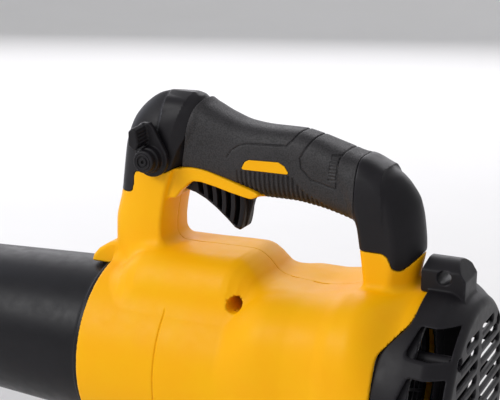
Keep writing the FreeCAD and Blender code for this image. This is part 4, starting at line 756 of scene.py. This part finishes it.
class Paint:
    """A material's nodes, built from its object coordinates in metres."""

    def __init__(self, name):
        self.material = bpy.data.materials.new(name)
        self.material.use_nodes = True
        self.tree = self.material.node_tree
        self.shader = self.tree.nodes["Principled BSDF"]
        self.place = self.add("ShaderNodeTexCoord").outputs["Object"]

    def add(self, kind, **settings):
        node = self.tree.nodes.new(kind)
        for key, value in settings.items():
            setattr(node, key, value)
        return node

    def feed(self, socket, value):
        if isinstance(value, bpy.types.NodeSocket):
            self.tree.links.new(value, socket)
        else:
            socket.default_value = value

    def noise(self, size, detail=3.0, rough=0.55, stretch=(1, 1, 1)):
        """Noise with features of one size, in millimetres."""
        shift = self.add("ShaderNodeMapping")
        self.feed(shift.inputs["Vector"], self.place)
        shift.inputs["Scale"].default_value = stretch
        node = self.add("ShaderNodeTexNoise")
        self.feed(node.inputs["Vector"], shift.outputs["Vector"])
        node.inputs["Scale"].default_value = 1000 / size
        node.inputs["Detail"].default_value = detail
        node.inputs["Roughness"].default_value = rough
        return node.outputs["Fac"]

    def pebbles(self, size):
        """Height of leather-like grains of one size, in millimetres."""
        warp = self.add("ShaderNodeTexNoise")
        self.feed(warp.inputs["Vector"], self.place)
        warp.inputs["Scale"].default_value = 700 / size
        bend = self.add("ShaderNodeVectorMath", operation="MULTIPLY_ADD")
        self.feed(bend.inputs[0], warp.outputs["Color"])
        bend.inputs[1].default_value = [size / 1400] * 3
        self.feed(bend.inputs[2], self.place)
        node = self.add("ShaderNodeTexVoronoi", feature="SMOOTH_F1")
        self.feed(node.inputs["Vector"], bend.outputs["Vector"])
        node.inputs["Scale"].default_value = 1000 / size
        node.inputs["Smoothness"].default_value = 0.35
        return self.span(node.outputs["Distance"], 0.15, 0.75, 1, 0)

    def span(self, value, low, high, to_low=0.0, to_high=1.0):
        node = self.add("ShaderNodeMapRange")
        for socket, number in zip(node.inputs, (value, low, high, to_low, to_high)):
            self.feed(socket, number)
        return node.outputs["Result"]

    def math(self, operation, a, b):
        node = self.add("ShaderNodeMath", operation=operation)
        self.feed(node.inputs[0], a)
        self.feed(node.inputs[1], b)
        return node.outputs["Value"]

    def blend(self, share, a, b):
        node = self.add("ShaderNodeMix", data_type="RGBA")
        self.feed(node.inputs["Factor"], share)
        self.feed(node.inputs["A"], a)
        self.feed(node.inputs["B"], b)
        return node.outputs["Result"]

    def edges(self, low=0.515, high=0.58):
        """1 on outward edges that have worn, broken up by noise."""
        sharp = self.span(self.add("ShaderNodeNewGeometry").outputs["Pointiness"], low, high)
        return self.math("MULTIPLY", sharp, self.span(self.noise(3.0), 0.35, 0.65))

    def hollows(self):
        """1 in inward corners, where shade is painted."""
        return self.span(self.add("ShaderNodeNewGeometry").outputs["Pointiness"], 0.49, 0.43)

    def height(self, value, distance, normal=None):
        """Bump of a height, in millimetres at 1."""
        node = self.add("ShaderNodeBump")
        node.inputs["Distance"].default_value = distance / 1000
        self.feed(node.inputs["Height"], value)
        if normal:
            self.feed(node.inputs["Normal"], normal)
        return node.outputs["Normal"]

    def finish(self, colour, rough, normal, **sockets):
        self.feed(self.shader.inputs["Base Color"], colour)
        self.feed(self.shader.inputs["Roughness"], rough)
        self.feed(self.shader.inputs["Normal"], normal)
        for name, value in sockets.items():
            self.shader.inputs[name.replace("_", " ")].default_value = value
        return self.material


def moulded(name, colour, shade, worn, rough, grain=0.35, depth=0.018, wear=0.5, **sockets):
    """Moulded plastic: fine spark-eroded grain, slow colour drift, painted shade in the hollows and rubbed edges.
    """
    paint = Paint(name)
    tone = paint.blend(paint.span(paint.noise(28.0, 4.0), 0.3, 0.7), linear(*shade), linear(*colour))
    hollow_shade = linear(*[c * 0.6 for c in shade])
    # Painted shade: inward corners are darkened towards a dark copy of the shade colour.
    tone = paint.blend(paint.math("MULTIPLY", paint.hollows(), 0.45), tone, hollow_shade)
    tone = paint.blend(paint.math("MULTIPLY", paint.edges(), wear), tone, linear(*worn))
    sheen = paint.span(paint.noise(9.0, 5.0), 0.3, 0.7, rough - 0.05, rough + 0.06)
    skin = paint.height(paint.noise(grain, 2.0), depth)
    skin = paint.height(paint.noise(14.0, 1.0), 0.05, skin)
    return paint.finish(tone, sheen, skin, **sockets)


def leather_rubber(name, colour, worn, size, depth, rough):
    """Soft-touch rubber with a pebbled leather grain."""
    paint = Paint(name)
    grain = paint.pebbles(size)
    # Painted shade: the valleys between the pebbles are painted darker than their tops.
    tone = paint.blend(paint.span(grain, 0.1, 0.7), linear(*[c * 0.55 for c in colour]), linear(*colour))
    tone = paint.blend(paint.span(paint.noise(24.0, 4.0), 0.4, 0.75, 0, 0.3), tone, linear(*worn))
    tone = paint.blend(paint.math("MULTIPLY", paint.edges(), 0.4), tone, linear(*worn))
    gloss = paint.span(grain, 0, 1, rough + 0.16, rough)
    skin = paint.height(grain, depth)
    skin = paint.height(paint.noise(0.25, 2.0), 0.012, skin)
    return paint.finish(tone, gloss, skin)


def machined(name, colour, rough, **sockets):
    """Metal with fine turning marks, small scratches and a little tarnish."""
    paint = Paint(name)
    marks = paint.noise(0.8, 3.0, 0.6, (6, 1, 1))
    tarnish = paint.span(paint.noise(5.0, 4.0), 0.45, 0.75)
    tone = paint.blend(tarnish, linear(*colour), linear(*[c * 0.72 for c in colour]))
    bright = linear(*[min(255, c * 1.12) for c in colour])
    tone = paint.blend(paint.span(marks, 0.55, 0.7, 0, 0.35), tone, bright)
    gloss = paint.span(marks, 0.3, 0.7, rough - 0.08, rough + 0.1)
    return paint.finish(tone, gloss, paint.height(marks, 0.02), Metallic=1.0, **sockets)


def make_paints():
    """Every material, by the name of the record's slot it belongs to."""
    paints = {}
    paints["yellow_plastic"] = moulded(
        "yellow_moulded", (255, 186, 0), (255, 179, 0), (255, 200, 50), 0.46, 0.45, 0.014, 0.5,
        Specular_IOR_Level=0.16)
    paints["black_plastic"] = moulded(
        "black_moulded", (29, 27, 30), (23, 21, 24), (58, 57, 61), 0.44, Specular_IOR_Level=0.22)
    paints["grip_rubber"] = leather_rubber(
        "grip_leather_grain", (37, 34, 36), (52, 49, 51), 0.95, 0.06, 0.5)
    paints["tube_plastic"] = moulded(
        "tube_gloss", (20, 19, 23), (16, 15, 19), (50, 52, 60), 0.4, 0.6, 0.006, 0.4,
        Specular_IOR_Level=0.22)
    paints["inner_plastic"] = moulded("inner_moulded", (38, 38, 39), (30, 30, 31), (74, 74, 75), 0.42)
    paints["seal_rubber"] = leather_rubber(
        "seal_rubber_skin", (44, 43, 44), (70, 69, 70), 0.6, 0.03, 0.6)
    paints["steel"] = machined("steel_turned", (176, 178, 182), 0.28)
    paints["zinc_steel"] = machined("zinc_plated", (188, 190, 196), 0.34)
    paints["aluminium"] = machined("aluminium_cast", (196, 197, 200), 0.4)
    paints["copper"] = machined("copper_enamelled", (196, 104, 58), 0.3, Coat_Weight=0.6)
    paints["board_green"] = moulded(
        "board_lacquer", (24, 92, 52), (18, 74, 42), (60, 130, 84), 0.26, 1.2, 0.02, 0.4, Coat_Weight=0.5)
    paints["lead_sleeve"] = moulded("lead_silicone", (150, 30, 26), (128, 24, 22), (188, 70, 64), 0.48)
    paints["cell_sleeve"] = moulded(
        "cell_shrink_wrap", (58, 120, 158), (50, 106, 142), (120, 166, 190), 0.22)
    return paints


def dress_nodes(paints):
    """Puts its slot's material on every CAD part, so also on those that no piece stands for."""
    for part in frame["record"]["subparts"]:
        for place in frame["nodes"][part["node"]].material_slots:
            place.material = paints[part["material_slot"]]


# ---------------------------------------------------------------- stage

def make_floor():
    """Plain pale floor, running up behind the object as a smooth backdrop."""
    profile = [(-6.0, 0.0), (2.5, 0.0)]
    angles = np.linspace(0.1, math.pi / 2, 14)
    profile += [(2.5 + 1.5 * math.sin(a), 1.5 - 1.5 * math.cos(a)) for a in angles]
    profile.append((4.0, 5.0))
    points = [(x, y, z) for y, z in profile for x in (-6.0, 6.0)]
    faces = [(2 * i, 2 * i + 1, 2 * i + 3, 2 * i + 2) for i in range(len(profile) - 1)]
    mesh = bpy.data.meshes.new("floor")
    mesh.from_pydata(points, [], faces)
    mesh.polygons.foreach_set("use_smooth", [True] * len(faces))
    floor = bpy.data.objects.new("floor", mesh)
    bpy.context.scene.collection.objects.link(floor)
    paint = Paint("floor_paper")
    tone = paint.blend(paint.noise(400.0, 2.0), linear(236, 235, 233), linear(242, 241, 240))
    mesh.materials.append(paint.finish(tone, paint.span(paint.noise(90.0), 0, 1, 0.6, 0.7),
                                       paint.height(paint.noise(2.0), 0.02)))


def soft_light(name, place, target, size, power, colour=(1, 1, 1)):
    lamp = bpy.data.lights.new(name, "AREA")
    lamp.shape = "RECTANGLE"
    lamp.size, lamp.size_y = size
    lamp.energy = power
    lamp.color = colour
    light = bpy.data.objects.new(name, lamp)
    light.location = place
    light.rotation_euler = (Vector(target) - Vector(place)).to_track_quat("-Z", "Y").to_euler()
    light.visible_camera = False
    bpy.context.scene.collection.objects.link(light)


def make_lights():
    """Soft box from the left front, wide panel behind, small cool rim light, pale surroundings."""
    scene = bpy.context.scene
    scene.world = bpy.data.worlds.new("studio")
    scene.world.use_nodes = True
    background = scene.world.node_tree.nodes["Background"]
    background.inputs["Color"].default_value = (0.95, 0.96, 1.0, 1.0)
    background.inputs["Strength"].default_value = 0.54
    soft_light("key", (-1.0, -1.5, 1.5), (0.2, 0, 0.25), (1.1, 0.9), 25)
    soft_light("back_panel", (-0.5, 2.0, 1.15), (0.2, 0, 0.3), (3.2, 1.5), 30, (0.97, 0.96, 1.0))
    soft_light("rim", (-1.6, 0.5, 0.9), (0.1, 0, 0.3), (0.6, 1.2), 5, (0.82, 0.86, 1.0))
    scene.view_settings.view_transform = "Standard"


def make_camera():
    lens = bpy.data.cameras.new("camera")
    lens.lens = 86.4
    lens.sensor_width = 36.0
    lens.shift_y = 0.07
    camera = bpy.data.objects.new("camera", lens)
    camera.location = (0.6202, -0.7014, 0.4553)
    camera.rotation_euler = (math.radians(73), 0, math.radians(26))
    bpy.context.scene.collection.objects.link(camera)
    bpy.context.scene.camera = camera


# ---------------------------------------------------------------- the whole object

paints = make_paints()
dress_nodes(paints)
make_camera()
make_lights()
make_floor()
make_housing(paints["yellow_plastic"])
make_handle_trim(paints["black_plastic"], paints["grip_rubber"], paints["yellow_plastic"])
make_controls(paints["black_plastic"])
make_cage(paints["black_plastic"])
make_tube(paints["tube_plastic"])
make_nozzle(paints["tube_plastic"])
make_pack(paints["black_plastic"])
